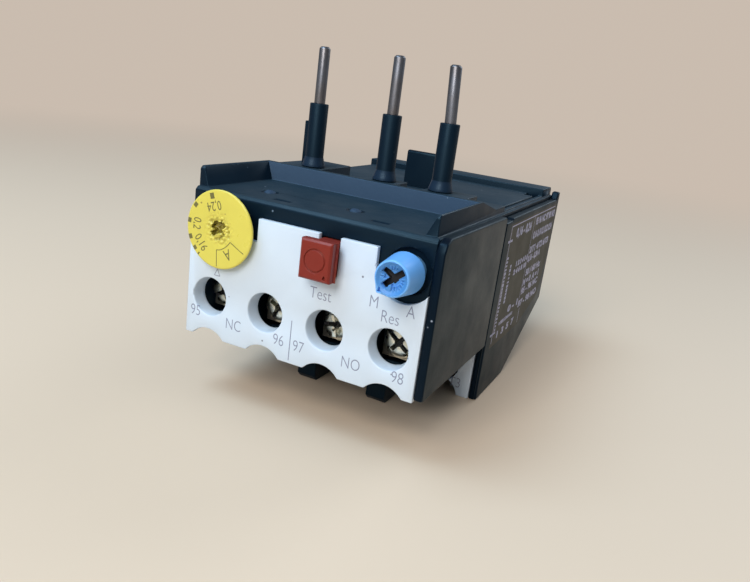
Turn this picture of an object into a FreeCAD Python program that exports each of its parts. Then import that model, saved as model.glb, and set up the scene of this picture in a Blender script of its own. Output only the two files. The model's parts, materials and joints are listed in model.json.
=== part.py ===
"""Thermal overload relay that plugs under a contactor, as an assembly of separate pieces.

Millimetres. +X is to the right as seen from the front, +Y runs from the front to the rear,
+Z is up. The origin is at the middle of the footprint, on the surface that the relay rests on.
"""
import FreeCAD, Part
import math
import os
from FreeCAD import Vector

# ---------------------------------------------------------------- outer sizes
WIDTH = 45.0            # module width
BODY_DEPTH = 74.0       # face of the front plate to the rear face
KNOB_OUT = 5.0          # reset knob in front of the front plate
BLOCK_DROP = 11.3       # main terminal block below the front block
FRONT_HEIGHT = 24.6     # front block, underside to tray floor
RIDGE_RISE = 3.3        # tray walls and ridge above the tray floor
RIM_RISE = 1.8          # rear rim above the tray floor
DECK_RISE = 0.6         # top cover above the tray floor
PIN_ZONE_RISE = 1.2     # roof round the line pins above the tray floor
TRAY_DEPTH = 20.0       # plate face to the tray's back wall
RIDGE_THICK = 1.0
DECK_FRONT = 36.0       # plate face to the front edge of the deck
DECK_LENGTH = 30.0
BLOCK_FRONT = 31.2      # plate face to the face of the terminal plate
FLAT_LENGTH = 17.3      # flat underside behind the terminal plate's face
TAIL_RISE = 11.5        # how far the sloping underside rises at the rear

# ---------------------------------------------------------------- walls and gaps
WALL = 1.6              # left wall and floors
FRONT_WALL = 2.0
REAR_WALL = 1.6
ROOF = 2.1
PARTITION = 1.3         # walls between the poles
COVER_THICK = 1.5       # side cover
GROOVE = 0.4            # moulded line down the side cover
PLATE_THICK = 1.0       # front plate and terminal plate
SEAT_GAP = 0.1          # between fixed pieces that lie on each other
SLIDE_GAP = 0.2         # between sliding pieces and their guides
SHAFT_GAP = 0.05        # radial, shafts in their holes
TRAY_WALL_TOP = 0.8     # tray side walls at their top edge
TRAY_WALL_FOOT = 1.9    # and at the tray floor
MARK_DEPTH = 0.35       # marks sunk in the tray floor
MARK_R = 1.5

# ---------------------------------------------------------------- front plate
AUX_COUNT = 4           # control terminals
AUX_RISE = 6.8          # terminal holes above the front block's underside
AUX_HOLE_R = 3.325      # at the plate face
AUX_THROAT_R = 3.05     # at the back of the funnel
FUNNEL_DEPTH = 2.6
FUNNEL_WALL = 0.35
SCALLOP_R = 4.1         # wire notches in the lower edge
SCALLOP_RISE = 1.1
PLATE_LIP = 0.45        # plate below the front block's underside
PLATE_TOP = 21.85       # plate above the front block's underside
PLATE_SIDE = 0.5        # left margin beside the plate
DIAL_INSET = 7.3        # left face to the dial's axis
DIAL_RISE = 18.9
DIAL_R = 6.45
DIAL_THICK = 1.2
DIAL_GAP = 0.3
DIAL_NOTCH_RISE = 18.1
SPINDLE_R = 2.0
CAM_R = 3.0
CAM_OFFSET = 0.5
TEST_X = 4.12
TEST_RISE = 18.4
TEST_WIDTH = 5.45
TEST_HEIGHT = 6.2
TEST_CAP = 1.6          # thickness of the button's cap
TEST_STEM_W = 3.4
TEST_STEM_H = 5.4
TEST_TRAVEL = 1.5
TEST_OUT = 3.4          # cap's face in front of the plate
SLOT_GAP = 0.16         # beside the stem in the plate's slot
RESET_INSET = 5.45      # right face to the reset knob's axis
RESET_RISE = 19.1
RESET_R = 3.2
RESET_TIP_R = 2.7
RESET_POINTER = 3.42    # axis to the tip of the pointer
RESET_POINTER_DEG = 228.6
RESET_TRAVEL = 2.0
RESET_NOTCH_R = 4.75
RESET_STEM_R = 2.2
RESET_ROD_R = 1.6       # rod through the spring
RESET_STUB_R = 1.3      # spigot that carries the knob
RESET_STUB_COVER = 2.2  # knob's face to the spigot
RESET_SEAT_DEPTH = 9.6  # inner face of the front wall to the spring seat
TEST_SEAT_DEPTH = 7.4
SEAT_THICK = 1.3
TEST_SPRING_R = 1.7
TEST_WIRE = 0.4
RESET_SPRING_R = 2.2
RESET_WIRE = 0.45
SPRING_TURNS = 5
SPRING_SIDES = 10       # straight lengths in one turn of a spring
FLANGE_R = 3.0

# ---------------------------------------------------------------- screws and clamps
AUX_SCREW = {"head_r": 2.75, "head_h": 2.0, "shank_r": 1.7, "length": 6.0, "slot": 0.75}
MAIN_SCREW = {"head_r": 3.4, "head_h": 2.4, "shank_r": 1.95, "length": 6.4, "slot": 0.9}
AUX_HEAD_DEPTH = 4.0    # plate face to the screw head
MAIN_HEAD_DEPTH = 6.6
AUX_WASHER_SIDE = 0.15  # clamp plate to the left wall of its bay
AUX_WASHER_H = 6.8
AUX_WASHER_T = 1.0
MAIN_WASHER_SIDE = 0.7  # clamp plate to the walls of its bay
MAIN_WASHER_H = 8.4
MAIN_WASHER_T = 1.2
HEAD_SEAT = 0.05        # screw head on its washer

# ---------------------------------------------------------------- main poles
POLE_COUNT = 3
POLE_RISE = 5.9         # main screws above the base
MAIN_HOLE_R = 3.7
BAY_WALL = 3.7          # between neighbouring terminal bays
RIB_WIDTH = 3.8         # barriers between the poles
RIB_LENGTH = 13.5
STRAP_THICK = 1.2
STRAP_WIDTH = 6.4
STRAP_RISE = 13.8       # where the load strap turns to the rear

# ---------------------------------------------------------------- line pins
PIN_SHIFT = (0.5, 0.8, -2.9)   # pins beside the middle of their poles
PIN_DEPTH = 24.0        # plate face to the pins
PIN_R = 1.0
PIN_NECK = 1.24         # square neck inside the sleeve
NECK_GAP = 0.02
SLEEVE_RIB = 0.6        # rib on the left pin's sleeve
SLEEVE_RIB_TOP = 47.4
PIN_TIP = 0.35
PAD_NEAR = 2.6          # pads round the outer pins, on the side of the middle pin
PAD_FAR = 5.8           # and on the other side
PAD_HALF = 3.2          # pad of the middle pin
PAD_REAR = 3.4
PIN_TOP = 60.6
SLEEVE_TOP = 50.7
SLEEVE_R = 1.7
COLLAR_R = 2.2
COLLAR_HEIGHT = 1.8

# ---------------------------------------------------------------- bimetals and trip gear
BIMETAL_Y = 14.0
BIMETAL_THICK = 0.8
BIMETAL_WIDTH = 6.0
BIMETAL_ROOT = 15.2
BIMETAL_PROUD = 1.4     # above the slide that it pushes
HEATER_WIRE = 0.8
HEATER_TURNS = 7
HEATER_PITCH = 1.5
HEATER_START = 18.2
HEATER_HALF_X = 1.5     # wire centre line
HEATER_HALF_Y = 3.9
HEATER_CLEAR = 0.3      # from the winding to the slide above it
SLIDE_Z = HEATER_START + HEATER_TURNS * HEATER_PITCH + HEATER_WIRE / 2 + HEATER_CLEAR
SLIDE_THICK = 1.2
BIMETAL_TOP = SLIDE_Z + SLIDE_THICK + BIMETAL_PROUD
SLIDE_HALF = 4.6
SLIDE_TRAVEL = 1.4
LEVER_INSET = 3.7       # left face to the trip lever
LEVER_REACH = 3.4       # lever's axis to the edge of its window
LEVER_THICK = 0.8
LEVER_BELOW = 1.4       # the lever reaches past the slide below and above
LEVER_ABOVE = 0.8
LEVER_LOW = SLIDE_Z - LEVER_BELOW
LEVER_HIGH = SLIDE_Z + SLIDE_THICK + LEVER_ABOVE
PIN_FOOT_RISE = 0.1     # from the slide's underside to the foot of the line pins
PIN_FOOT_Z = SLIDE_Z + PIN_FOOT_RISE
LEVER_PIVOT_Y = -7.0
LEVER_PIN_R = 1.0
CARRIER_LOW = 23.2
CARRIER_HEIGHT = 3.7
CARRIER_THICK = 1.4
CARRIER_TRAVEL = 1.6
BAR_THICK = 0.8         # contact bars of the control terminals
BAR_HALF = 2.9
BAR_LOW = 14.9
RIVET_R = 1.2           # contact rivets
STRIP_THICK = 0.5       # moving contact strips

# ---------------------------------------------------------------- hook for the contactor
HOOK_LEFT = -4.4
HOOK_RIGHT = 2.0
HOOK_DEPTH = 45.0       # plate face to the hook
HOOK_THICK = 1.6
HOOK_TOP = 43.3

# ---------------------------------------------------------------- derived places
LEFT = -WIDTH / 2
RIGHT = WIDTH / 2
PLATE_Y = KNOB_OUT - (BODY_DEPTH + KNOB_OUT) / 2
REAR_Y = PLATE_Y + BODY_DEPTH
FACE_Y = PLATE_Y + PLATE_THICK + SEAT_GAP          # black front face of the housing
INNER_FRONT = FACE_Y + FRONT_WALL
FRONT_Z = BLOCK_DROP
TRAY_Z = FRONT_Z + FRONT_HEIGHT
RIDGE_Z = TRAY_Z + RIDGE_RISE
RIM_Z = TRAY_Z + RIM_RISE
DECK_Z = TRAY_Z + DECK_RISE
PIN_ZONE_Z = TRAY_Z + PIN_ZONE_RISE
TRAY_BACK = PLATE_Y + TRAY_DEPTH + 0.6
RIDGE_BACK = TRAY_BACK + RIDGE_THICK
DECK_Y0 = PLATE_Y + DECK_FRONT
DECK_Y1 = DECK_Y0 + DECK_LENGTH
T_FACE = PLATE_Y + BLOCK_FRONT
T_BACK = T_FACE + PLATE_THICK + SEAT_GAP           # housing face behind the terminal plate
FLAT_END = T_FACE + FLAT_LENGTH
COVER_X = RIGHT - COVER_THICK
HOUSING_RIGHT = COVER_X - SEAT_GAP
DIAL_X = LEFT + DIAL_INSET
DIAL_NOTCH_RIGHT = DIAL_X + DIAL_R - 0.1
RESET_X = RIGHT - RESET_INSET
RESET_NOTCH_LEFT = RESET_X - RESET_NOTCH_R - 0.1
LEVER_X = LEFT + LEVER_INSET
AUX_PITCH = (WIDTH - 2 * 0.3) / AUX_COUNT
AUX_CENTRE = (LEFT + HOUSING_RIGHT) / 2 + SEAT_GAP
POLE_PITCH = (WIDTH - COVER_THICK) / POLE_COUNT
BAY_HALF = (POLE_PITCH - BAY_WALL) / 2
MAIN_WASHER_W = 2 * (BAY_HALF - MAIN_WASHER_SIDE)
RIB_CENTRE = POLE_PITCH / 2 + 0.1
TRAY_RIGHT = HOUSING_RIGHT - 0.6
INNER_LEFT = LEFT + WALL
FLOOR_Z = FRONT_Z + WALL + 0.3                     # floor of the front chamber
CEILING_Z = TRAY_Z - 1.9
CHAMBER_TOP = DECK_Z - 1.6
SPLIT_Y = TRAY_BACK - 1.0                          # wall between the two chambers
SPLIT_BACK = SPLIT_Y + 1.4
AUX_Z = FRONT_Z + AUX_RISE
DIAL_Z = FRONT_Z + DIAL_RISE
TEST_Z = FRONT_Z + TEST_RISE
RESET_Z = FRONT_Z + RESET_RISE
PIN_Y = PLATE_Y + PIN_DEPTH
HOOK_Y = PLATE_Y + HOOK_DEPTH
CONTACT_Z = CARRIER_LOW + CARRIER_HEIGHT / 2
AUX_X = [AUX_CENTRE + (i - (AUX_COUNT - 1) / 2) * AUX_PITCH for i in range(AUX_COUNT)]
AUX_WASHER_W = 2 * (AUX_X[0] - INNER_LEFT - AUX_WASHER_SIDE)
POLE_X = [(i - (POLE_COUNT - 1) / 2) * POLE_PITCH for i in range(POLE_COUNT)]
PIN_X = [x + shift for x, shift in zip(POLE_X, PIN_SHIFT)]


# ---------------------------------------------------------------- shape helpers
def box(x0, x1, y0, y1, z0, z1):
    return Part.makeBox(x1 - x0, y1 - y0, z1 - z0, Vector(x0, y0, z0))


def rod_y(x, z, r, y0, y1):
    return Part.makeCylinder(r, y1 - y0, Vector(x, y0, z), Vector(0, 1, 0))


def rod_z(x, y, r, z0, z1):
    return Part.makeCylinder(r, z1 - z0, Vector(x, y, z0), Vector(0, 0, 1))


def cone_y(x, z, r0, r1, y0, y1):
    return Part.makeCone(r0, r1, y1 - y0, Vector(x, y0, z), Vector(0, 1, 0))


def prism(points, along):
    outline = Part.makePolygon([Vector(*p) for p in points] + [Vector(*points[0])])
    return Part.Face(outline).extrude(Vector(*along))


def prism_x(yz, x0, x1):
    return prism([(x0, y, z) for y, z in yz], (x1 - x0, 0, 0))


def prism_y(xz, y0, y1):
    return prism([(x, y0, z) for x, z in xz], (0, y1 - y0, 0))


def prism_z(xy, z0, z1):
    return prism([(x, y, z0) for x, y in xy], (0, 0, z1 - z0))


def bevelled(shape, picks, size):
    """Chamfer on the edges for which picks(bounding box) is true."""
    return shape.makeChamfer(size, [e for e in shape.Edges if picks(e.BoundBox)])


def join(shapes):
    return shapes[0].multiFuse(shapes[1:]).removeSplitter()


def carve(shape, tools):
    return shape.cut(tools).removeSplitter()


def save(name, shape):
    assert shape.isValid(), name
    shape.exportStep("parts/" + name + ".step")
    print(name, "solids", len(shape.Solids), "volume", round(shape.Volume, 2))


# ---------------------------------------------------------------- housing
def housing_outline():
    """Side view of the moulded case up to the tray floor."""
    return [(FACE_Y, FRONT_Z), (T_BACK, FRONT_Z), (T_BACK, 0.0), (FLAT_END, 0.0),
            (REAR_Y, TAIL_RISE), (REAR_Y, TRAY_Z), (FACE_Y + 0.6, TRAY_Z), (FACE_Y, TRAY_Z - 0.6)]


def upper_outline():
    """Side view of everything above the tray floor: tray walls, ridge, pin zone and rear rim."""
    low = TRAY_Z - 0.4
    return [(FACE_Y + 1.0, low), (FACE_Y + 1.0, RIDGE_Z - 0.5), (FACE_Y + 1.5, RIDGE_Z),
            (RIDGE_BACK, RIDGE_Z), (T_FACE - 1.0, PIN_ZONE_Z), (DECK_Y0, PIN_ZONE_Z),
            (DECK_Y0, RIM_Z), (REAR_Y - 0.6, RIM_Z), (REAR_Y, RIM_Z - 0.6), (REAR_Y, low)]


def tray_space():
    foot_l, foot_r = LEFT + TRAY_WALL_FOOT, TRAY_RIGHT - TRAY_WALL_FOOT
    top_l, top_r = LEFT + TRAY_WALL_TOP, TRAY_RIGHT - 0.3
    return prism_y([(foot_l, TRAY_Z), (foot_r, TRAY_Z), (top_r, RIDGE_Z + 0.1), (top_l, RIDGE_Z + 0.1)],
                   FACE_Y - 1.0, TRAY_BACK)


def tray_marks():
    """Two moulded slots and two round ejector marks sunk in the tray floor."""
    low, high = TRAY_Z - MARK_DEPTH, TRAY_Z + 1.0
    slot_y, mark_y = FACE_Y + 3.2, FACE_Y + 7.6
    slots = [box(x - MARK_R, x + MARK_R, slot_y - 0.6, slot_y + 0.6, low, high)
             for x in (DIAL_X + DIAL_R + 1.3, RESET_X - 2 * RESET_R - 0.6)]
    marks = [rod_z(x, mark_y, MARK_R, low, high) for x in (DIAL_X + 2.3, TEST_X - 0.6)]
    return slots + marks


def pole_chamber(x0, x1):
    """Space for one pole, from the inner wall to the rear, following the sloping floor."""
    lift = 2.2
    slope_end = REAR_Y - REAR_WALL
    slope = TAIL_RISE / (REAR_Y - FLAT_END)
    start = FLAT_END + 2.0
    return prism_x([(SPLIT_BACK, FLOOR_Z), (FLAT_END - 1.0, FLOOR_Z), (FLAT_END - 1.0, lift + 1.0),
                    (start, slope * 2.0 + lift), (slope_end, slope * (slope_end - FLAT_END) + lift),
                    (slope_end, CHAMBER_TOP), (SPLIT_BACK, CHAMBER_TOP)], x0, x1)


def chamber_spaces():
    wall = PARTITION / 2
    half = POLE_PITCH / 2
    open_side = HOUSING_RIGHT + 1.0
    front = box(INNER_LEFT, open_side, INNER_FRONT, SPLIT_Y, FLOOR_Z, CEILING_Z)
    left = pole_chamber(INNER_LEFT, -half - wall)
    middle = pole_chamber(-half + wall, half - wall)
    right = pole_chamber(half + wall, open_side)
    return [front, left, middle, right]


def main_bay(x):
    """Terminal bay of one pole with its wire entry, screw hole and strap slot."""
    bay = box(x - BAY_HALF, x + BAY_HALF, T_BACK + 1.0, strap_y(), -1.0, FRONT_Z)
    hole = rod_y(x, POLE_RISE, MAIN_HOLE_R, T_BACK - 1.0, T_BACK + 2.0)
    entry = rod_y(x, -0.9, SCALLOP_R, T_BACK - 1.0, T_BACK + 2.0)
    half = STRAP_WIDTH / 2 + SEAT_GAP
    slot = box(x - half, x + half, strap_y() - 0.5, strap_y() + STRAP_THICK + SEAT_GAP,
               POLE_RISE - 4.5, FLOOR_Z + 0.1)
    shank = rod_y(x, POLE_RISE, MAIN_SCREW["shank_r"] + 0.6, strap_y(), FLAT_END - 1.6)
    return [bay, hole, entry, slot, shank]


def aux_entry(x):
    """Funnel hole, wire hole in the floor and notch in the front edge of one control terminal."""
    hole = rod_y(x, AUX_Z, AUX_THROAT_R + FUNNEL_WALL + SEAT_GAP + 0.25, FACE_Y - 1.0, INNER_FRONT + 0.1)
    half = AUX_WASHER_W / 2
    floor = box(x - half, x + half, INNER_FRONT, aux_bar_y() + 0.9, FRONT_Z - 1.0, FLOOR_Z + 0.1)
    notch = rod_y(x, FRONT_Z + SCALLOP_RISE - SCALLOP_R, SCALLOP_R, FACE_Y - 1.0, INNER_FRONT + 0.1)
    return [hole, floor, notch]


def make_housing():
    body = prism_x(housing_outline(), LEFT, HOUSING_RIGHT)
    upper = prism_x(upper_outline(), LEFT, TRAY_RIGHT)
    body = join([body, upper])
    tools = [tray_space()] + chamber_spaces()
    tools += tray_marks()
    # recess and opening for the top cover
    tools.append(box(LEFT + 1.2, TRAY_RIGHT - 1.0, DECK_Y0, DECK_Y1,
                     DECK_Z - COVER_THICK - SEAT_GAP, RIM_Z + 1))
    tools.append(box(LEFT - 1, TRAY_RIGHT + 1, DECK_Y0, DECK_Y1, DECK_Z - 0.3, RIM_Z + 1))
    tools.append(box(INNER_LEFT + 1.5, HOUSING_RIGHT - 3.5, DECK_Y0 + 2.5, DECK_Y1 - 2.5,
                     CHAMBER_TOP - 1.0, DECK_Z))
    for x in POLE_X:
        tools += main_bay(x)
    for x in AUX_X:
        tools += aux_entry(x)
    # front face: dial spindle, test button and reset knob
    tools.append(rod_y(DIAL_X, DIAL_Z, SPINDLE_R + SHAFT_GAP, FACE_Y - 1.0, INNER_FRONT + 1.0))
    stem = TEST_STEM_W / 2 + SLOT_GAP
    tools.append(box(TEST_X - stem, TEST_X + stem, FACE_Y - 1.0, INNER_FRONT + 1.0,
                     TEST_Z - TEST_STEM_H / 2 - SLOT_GAP, TEST_Z + TEST_STEM_H / 2 + SLOT_GAP))
    tools.append(rod_y(RESET_X, RESET_Z, RESET_POINTER + 0.13, FACE_Y - 1.0, FACE_Y + 1.1))
    tools.append(rod_y(RESET_X, RESET_Z, RESET_STEM_R + SHAFT_GAP, FACE_Y, INNER_FRONT + 1.0))
    # windows for the trip slide and the lever
    tools.append(box(-POLE_PITCH, POLE_PITCH, BIMETAL_Y - SLIDE_HALF - SLIDE_GAP,
                     BIMETAL_Y + SLIDE_HALF + SLIDE_GAP, SLIDE_Z - SLIDE_GAP,
                     SLIDE_Z + SLIDE_THICK + SLIDE_GAP))
    tools.append(box(INNER_LEFT, LEVER_X + LEVER_REACH, SPLIT_Y - 1.0, SPLIT_BACK + 1.0,
                     LEVER_LOW - 0.5, LEVER_HIGH + 0.5))
    body = carve(body, tools)
    return carve(join([body] + housing_details()), housing_bores())


def housing_details():
    """Ribs, pads, guides and brackets that stand on the walls of the case."""
    parts = []
    # barriers between the poles, under the front block
    for side in (-1, 1):
        x = side * RIB_CENTRE
        parts.append(prism_x([(T_FACE - SEAT_GAP, FRONT_Z + 0.5), (T_FACE - SEAT_GAP, 0.0),
                              (T_FACE - RIB_LENGTH + 1.0, 0.0), (T_FACE - RIB_LENGTH, 1.0),
                              (T_FACE - RIB_LENGTH, FRONT_Z + 0.5)],
                             x - RIB_WIDTH / 2, x + RIB_WIDTH / 2))
    # raised pads round the line pins
    pads = ((PIN_X[0] - PAD_FAR, PIN_X[0] + PAD_NEAR, T_FACE + 3.0),
            (PIN_X[1] - PAD_HALF, PIN_X[1] + PAD_HALF, PIN_Y + PAD_REAR),
            (PIN_X[2] - PAD_NEAR, PIN_X[2] + PAD_FAR, PIN_Y + PAD_REAR))
    for x0, x1, y1 in pads:
        parts.append(box(x0, x1, RIDGE_BACK - 0.5, y1, PIN_ZONE_Z - 0.5, RIDGE_Z))
    # walls between the control terminals, which also carry the contact carrier
    for i in range(AUX_COUNT - 1):
        x = (AUX_X[i] + AUX_X[i + 1]) / 2
        parts.append(box(x - 0.5, x + 0.5, INNER_FRONT - 0.5, SPLIT_Y + 0.5, FLOOR_Z - 0.3,
                         CARRIER_LOW - SLIDE_GAP))
    # seats that hang from the tray floor behind the two springs
    half = TEST_WIDTH / 2
    parts.append(box(TEST_X - half, TEST_X + half, spring_seat_y(), spring_seat_y() + SEAT_THICK,
                     TEST_Z - TEST_SPRING_R - 0.5, CEILING_Z + 0.5))
    parts.append(box(RESET_X - RESET_R, HOUSING_RIGHT, reset_seat_y(), reset_seat_y() + SEAT_THICK,
                     RESET_Z - RESET_R, CEILING_Z + 0.5))
    # bracket for the lever's pin on the left wall
    parts.append(box(INNER_LEFT - 0.5, LEVER_X + 3.0, LEVER_PIVOT_Y - 2.2, LEVER_PIVOT_Y + 2.2,
                     LEVER_LOW - 3.4, LEVER_LOW - SLIDE_GAP))
    return parts


def housing_bores():
    """Holes that run through the added details: sleeves, lever pin and the plunger's rod."""
    bores = [rod_z(x, PIN_Y, SLEEVE_R + SHAFT_GAP, CHAMBER_TOP - 1.0, RIDGE_Z + 1.0) for x in PIN_X]
    bores.append(rod_z(LEVER_X, LEVER_PIVOT_Y, LEVER_PIN_R + 0.01, LEVER_LOW - 2.6, LEVER_LOW + 1.0))
    bores.append(rod_y(RESET_X, RESET_Z, RESET_ROD_R + SHAFT_GAP, reset_seat_y() - 1.0,
                       reset_seat_y() + 3.0))
    return bores


def make_side_cover():
    """Flat plate that closes the open right side."""
    back = REAR_Y
    top_front, top_rear = TRAY_Z + 0.3, TRAY_Z - 0.6
    plate = prism_x([(PLATE_Y + 0.2, FRONT_Z), (T_FACE, FRONT_Z), (T_FACE, 0.1), (FLAT_END, 0.1),
                     (back, TAIL_RISE), (back, TRAY_Z + 1.0), (back - 1.6, TRAY_Z + 1.0),
                    (back - 2.2, top_rear),
                     (T_FACE + 4.6, top_rear), (T_FACE + 4.0, top_rear - 0.5), (T_FACE, top_rear - 0.5),
                     (T_FACE - 0.6, top_front - 0.2), (PLATE_Y + 2.4, top_front),
                     (PLATE_Y + 0.9, top_front - 0.7), (PLATE_Y + 0.2, top_front - 2.2)], COVER_X, RIGHT)
    groove = box(RIGHT - GROOVE, RIGHT + 1, T_FACE - GROOVE / 2, T_FACE + GROOVE / 2, 0.0, TRAY_Z)
    return carve(plate, [groove])


def make_top_cover():
    """Flat lid over the poles with the slot in front of the hook."""
    gap = SEAT_GAP
    low = DECK_Z - COVER_THICK
    lid = box(LEFT + 1.2 + gap, TRAY_RIGHT - 1.0 - gap, DECK_Y0 + gap, DECK_Y1 - gap, low, DECK_Z)
    slot = box(HOOK_LEFT - 1.6, HOOK_RIGHT + 1.0, HOOK_Y - 3.6, HOOK_Y, low - 1, DECK_Z + 1)
    seat = box(HOOK_LEFT - gap, HOOK_RIGHT + gap, HOOK_Y - 0.1, HOOK_Y + HOOK_THICK + gap,
               low - 1, DECK_Z + 1)
    notch = box(TRAY_RIGHT - 3.2, TRAY_RIGHT, DECK_Y1 - 4.6, DECK_Y1, low - 1, DECK_Z + 1)
    groove = box(LEFT, TRAY_RIGHT, DECK_Y1 - 3.2, DECK_Y1 - 2.7, DECK_Z - 0.4, DECK_Z + 1)
    return carve(lid, [slot, seat, notch, groove])


def make_hook():
    """Tongue that catches in the contactor, with a foot under the top cover."""
    low = DECK_Z - COVER_THICK
    back = HOOK_Y + HOOK_THICK
    blade = prism_x([(HOOK_Y, low - 1.4), (back, low - 1.4), (back, HOOK_TOP - 1.2), (back - 0.5, HOOK_TOP),
                     (HOOK_Y + 0.3, HOOK_TOP), (HOOK_Y, HOOK_TOP - 0.3)], HOOK_LEFT, HOOK_RIGHT)
    foot = box(HOOK_LEFT - 1.4, HOOK_RIGHT + 1.4, HOOK_Y, HOOK_Y + 4.0, low - 1.4, low - SEAT_GAP)
    return join([blade, foot])


# ---------------------------------------------------------------- front pieces
def make_front_plate():
    low = FRONT_Z - PLATE_LIP
    top = FRONT_Z + PLATE_TOP
    x0, x1 = LEFT + PLATE_SIDE, HOUSING_RIGHT + 0.05
    back = PLATE_Y + PLATE_THICK
    plate = box(x0, x1, PLATE_Y, back, low, top)
    tools = [box(x0 - 1, DIAL_NOTCH_RIGHT, PLATE_Y - 1, back + 1, FRONT_Z + DIAL_NOTCH_RISE, top + 1),
             rod_y(DIAL_X, DIAL_Z, 2.6, PLATE_Y - 1, back + 1)]
    stem = TEST_STEM_W / 2 + SLOT_GAP
    tools.append(box(TEST_X - stem, TEST_X + stem, PLATE_Y - 1, back + 1,
                     TEST_Z - TEST_STEM_H / 2 - SLOT_GAP, top + 1))
    tools.append(box(RESET_NOTCH_LEFT, x1 + 1, PLATE_Y - 1, back + 1, RESET_Z, top + 1))
    tools.append(rod_y(RESET_X, RESET_Z, RESET_NOTCH_R, PLATE_Y - 1, back + 1))
    for x in AUX_X:
        tools.append(rod_y(x, FRONT_Z + SCALLOP_RISE - SCALLOP_R, SCALLOP_R, PLATE_Y - 1, back + 1))
    plate = carve(plate, tools)
    end = PLATE_Y + FUNNEL_DEPTH
    sleeves = [rod_y(x, AUX_Z, AUX_THROAT_R + FUNNEL_WALL + 0.2, PLATE_Y + 0.2, end) for x in AUX_X]
    bores = [cone_y(x, AUX_Z, AUX_HOLE_R, AUX_THROAT_R, PLATE_Y, end) for x in AUX_X]
    bores += [rod_y(x, AUX_Z, AUX_THROAT_R, end - 0.01, end + 1) for x in AUX_X]
    return carve(join([plate] + sleeves), bores)


def make_terminal_plate():
    """Pale plate on the face of the main terminal block, notched for the wires."""
    plate = box(LEFT + PLATE_SIDE, HOUSING_RIGHT, T_FACE, T_FACE + PLATE_THICK, 0.0, FRONT_Z - SEAT_GAP)
    tools = []
    for x in POLE_X:
        tools.append(rod_y(x, POLE_RISE, MAIN_HOLE_R, T_FACE - 1, T_BACK + 1))
        tools.append(rod_y(x, -0.9, SCALLOP_R, T_FACE - 1, T_BACK + 1))
    return carve(plate, tools)


def make_setting_dial():
    face = PLATE_Y - DIAL_GAP - DIAL_THICK
    disc = rod_y(DIAL_X, DIAL_Z, DIAL_R, face, face + DIAL_THICK)
    disc = bevelled(disc, lambda b: b.YMax < face + 0.01, 0.35)
    spindle = rod_y(DIAL_X, DIAL_Z, SPINDLE_R, face + DIAL_THICK - 0.1, INNER_FRONT + 3.2)
    return carve(join([disc, spindle]), cross_recess(DIAL_X, DIAL_Z, face, 1.9, 0.8, 0.8, 20))


def cross_recess(x, z, face, reach, width, depth, tilt):
    """Two crossed slots sunk in a face that looks forward."""
    bar = box(x - reach, x + reach, face - 1, face + depth, z - width / 2, z + width / 2)
    return [bar.copy().rotate(Vector(x, 0, z), Vector(0, 1, 0), tilt + turn) for turn in (0, 90)]


def make_dial_cam():
    """Cam with an eccentric stop pin, pressed on the dial's spindle behind the front wall."""
    y0 = INNER_FRONT + 0.3
    bore = rod_y(DIAL_X, DIAL_Z, SPINDLE_R + 0.01, y0 - 1, INNER_FRONT + 3.3)
    cam = carve(rod_y(DIAL_X + CAM_OFFSET, DIAL_Z, CAM_R, y0, y0 + 2.5), [bore])
    web = rod_y(DIAL_X, DIAL_Z, SPINDLE_R + 0.6, INNER_FRONT + 3.3, INNER_FRONT + 4.3)
    ring = carve(rod_y(DIAL_X, DIAL_Z, SPINDLE_R + 0.6, y0 + 2.0, INNER_FRONT + 3.4), [bore])
    stop = rod_y(DIAL_X + 2 * CAM_OFFSET, DIAL_Z, 0.7, INNER_FRONT + 4.2, INNER_FRONT + 7.0)
    return join([cam, ring, web, stop])


def spring_seat_y():
    return INNER_FRONT + TEST_SEAT_DEPTH


def make_test_button():
    face = PLATE_Y - TEST_OUT
    half_w, half_h = TEST_WIDTH / 2, TEST_HEIGHT / 2
    cap = box(TEST_X - half_w, TEST_X + half_w, face, face + TEST_CAP, TEST_Z - half_h, TEST_Z + half_h)
    cap = bevelled(cap, lambda b: b.YMax < face + 0.01, 0.35)
    stem_w, stem_h = TEST_STEM_W / 2, TEST_STEM_H / 2
    stem = box(TEST_X - stem_w, TEST_X + stem_w, face + TEST_CAP - 0.1, INNER_FRONT + 1.4,
               TEST_Z - stem_h, TEST_Z + stem_h)
    step = box(TEST_X - stem_w, TEST_X + stem_w, face + TEST_CAP - 0.1, PLATE_Y + 0.6,
               TEST_Z + stem_h - 0.1, TEST_Z + stem_h + 0.4)
    flange = box(TEST_X - half_w, TEST_X + half_w, INNER_FRONT + SEAT_GAP, INNER_FRONT + 1.1,
                 TEST_Z - half_h, TEST_Z + half_h)
    nose = box(TEST_X - 0.9, TEST_X + 0.9, INNER_FRONT + 0.4, INNER_FRONT + 4.8,
               CARRIER_LOW + 1.3, TEST_Z - stem_h + 0.1)
    guide = rod_y(TEST_X, TEST_Z, 0.9, INNER_FRONT + 1.0, INNER_FRONT + 4.6)
    ring = carve(rod_y(TEST_X, TEST_Z, 1.85, face - 0.01, face + 0.25),
                 [rod_y(TEST_X, TEST_Z, 1.6, face - 1, face + 1)])
    return carve(join([cap, stem, flange, nose, guide]), [ring, step_cut(face)])


def step_cut(face):
    """Arrow notch in the lower right corner of the cap."""
    x, z = TEST_X + TEST_WIDTH / 2 - 0.9, TEST_Z - TEST_HEIGHT / 2 + 0.5
    return prism_y([(x - 0.35, z), (x + 0.35, z), (x, z + 0.8)], face - 0.1, face + 0.5)


def coil(x, z, r, wire, y0, y1):
    """Square wire coil along Y, made of short straight lengths."""
    count = SPRING_TURNS * SPRING_SIDES
    start, rise = y0 + wire, (y1 - y0 - 2 * wire) / count
    points = []
    for i in range(count + 1):
        angle = 2 * math.pi * i / SPRING_SIDES
        points.append(Vector(x + r * math.cos(angle), start + i * rise, z + r * math.sin(angle)))
    return square_wire(points, wire)


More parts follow.
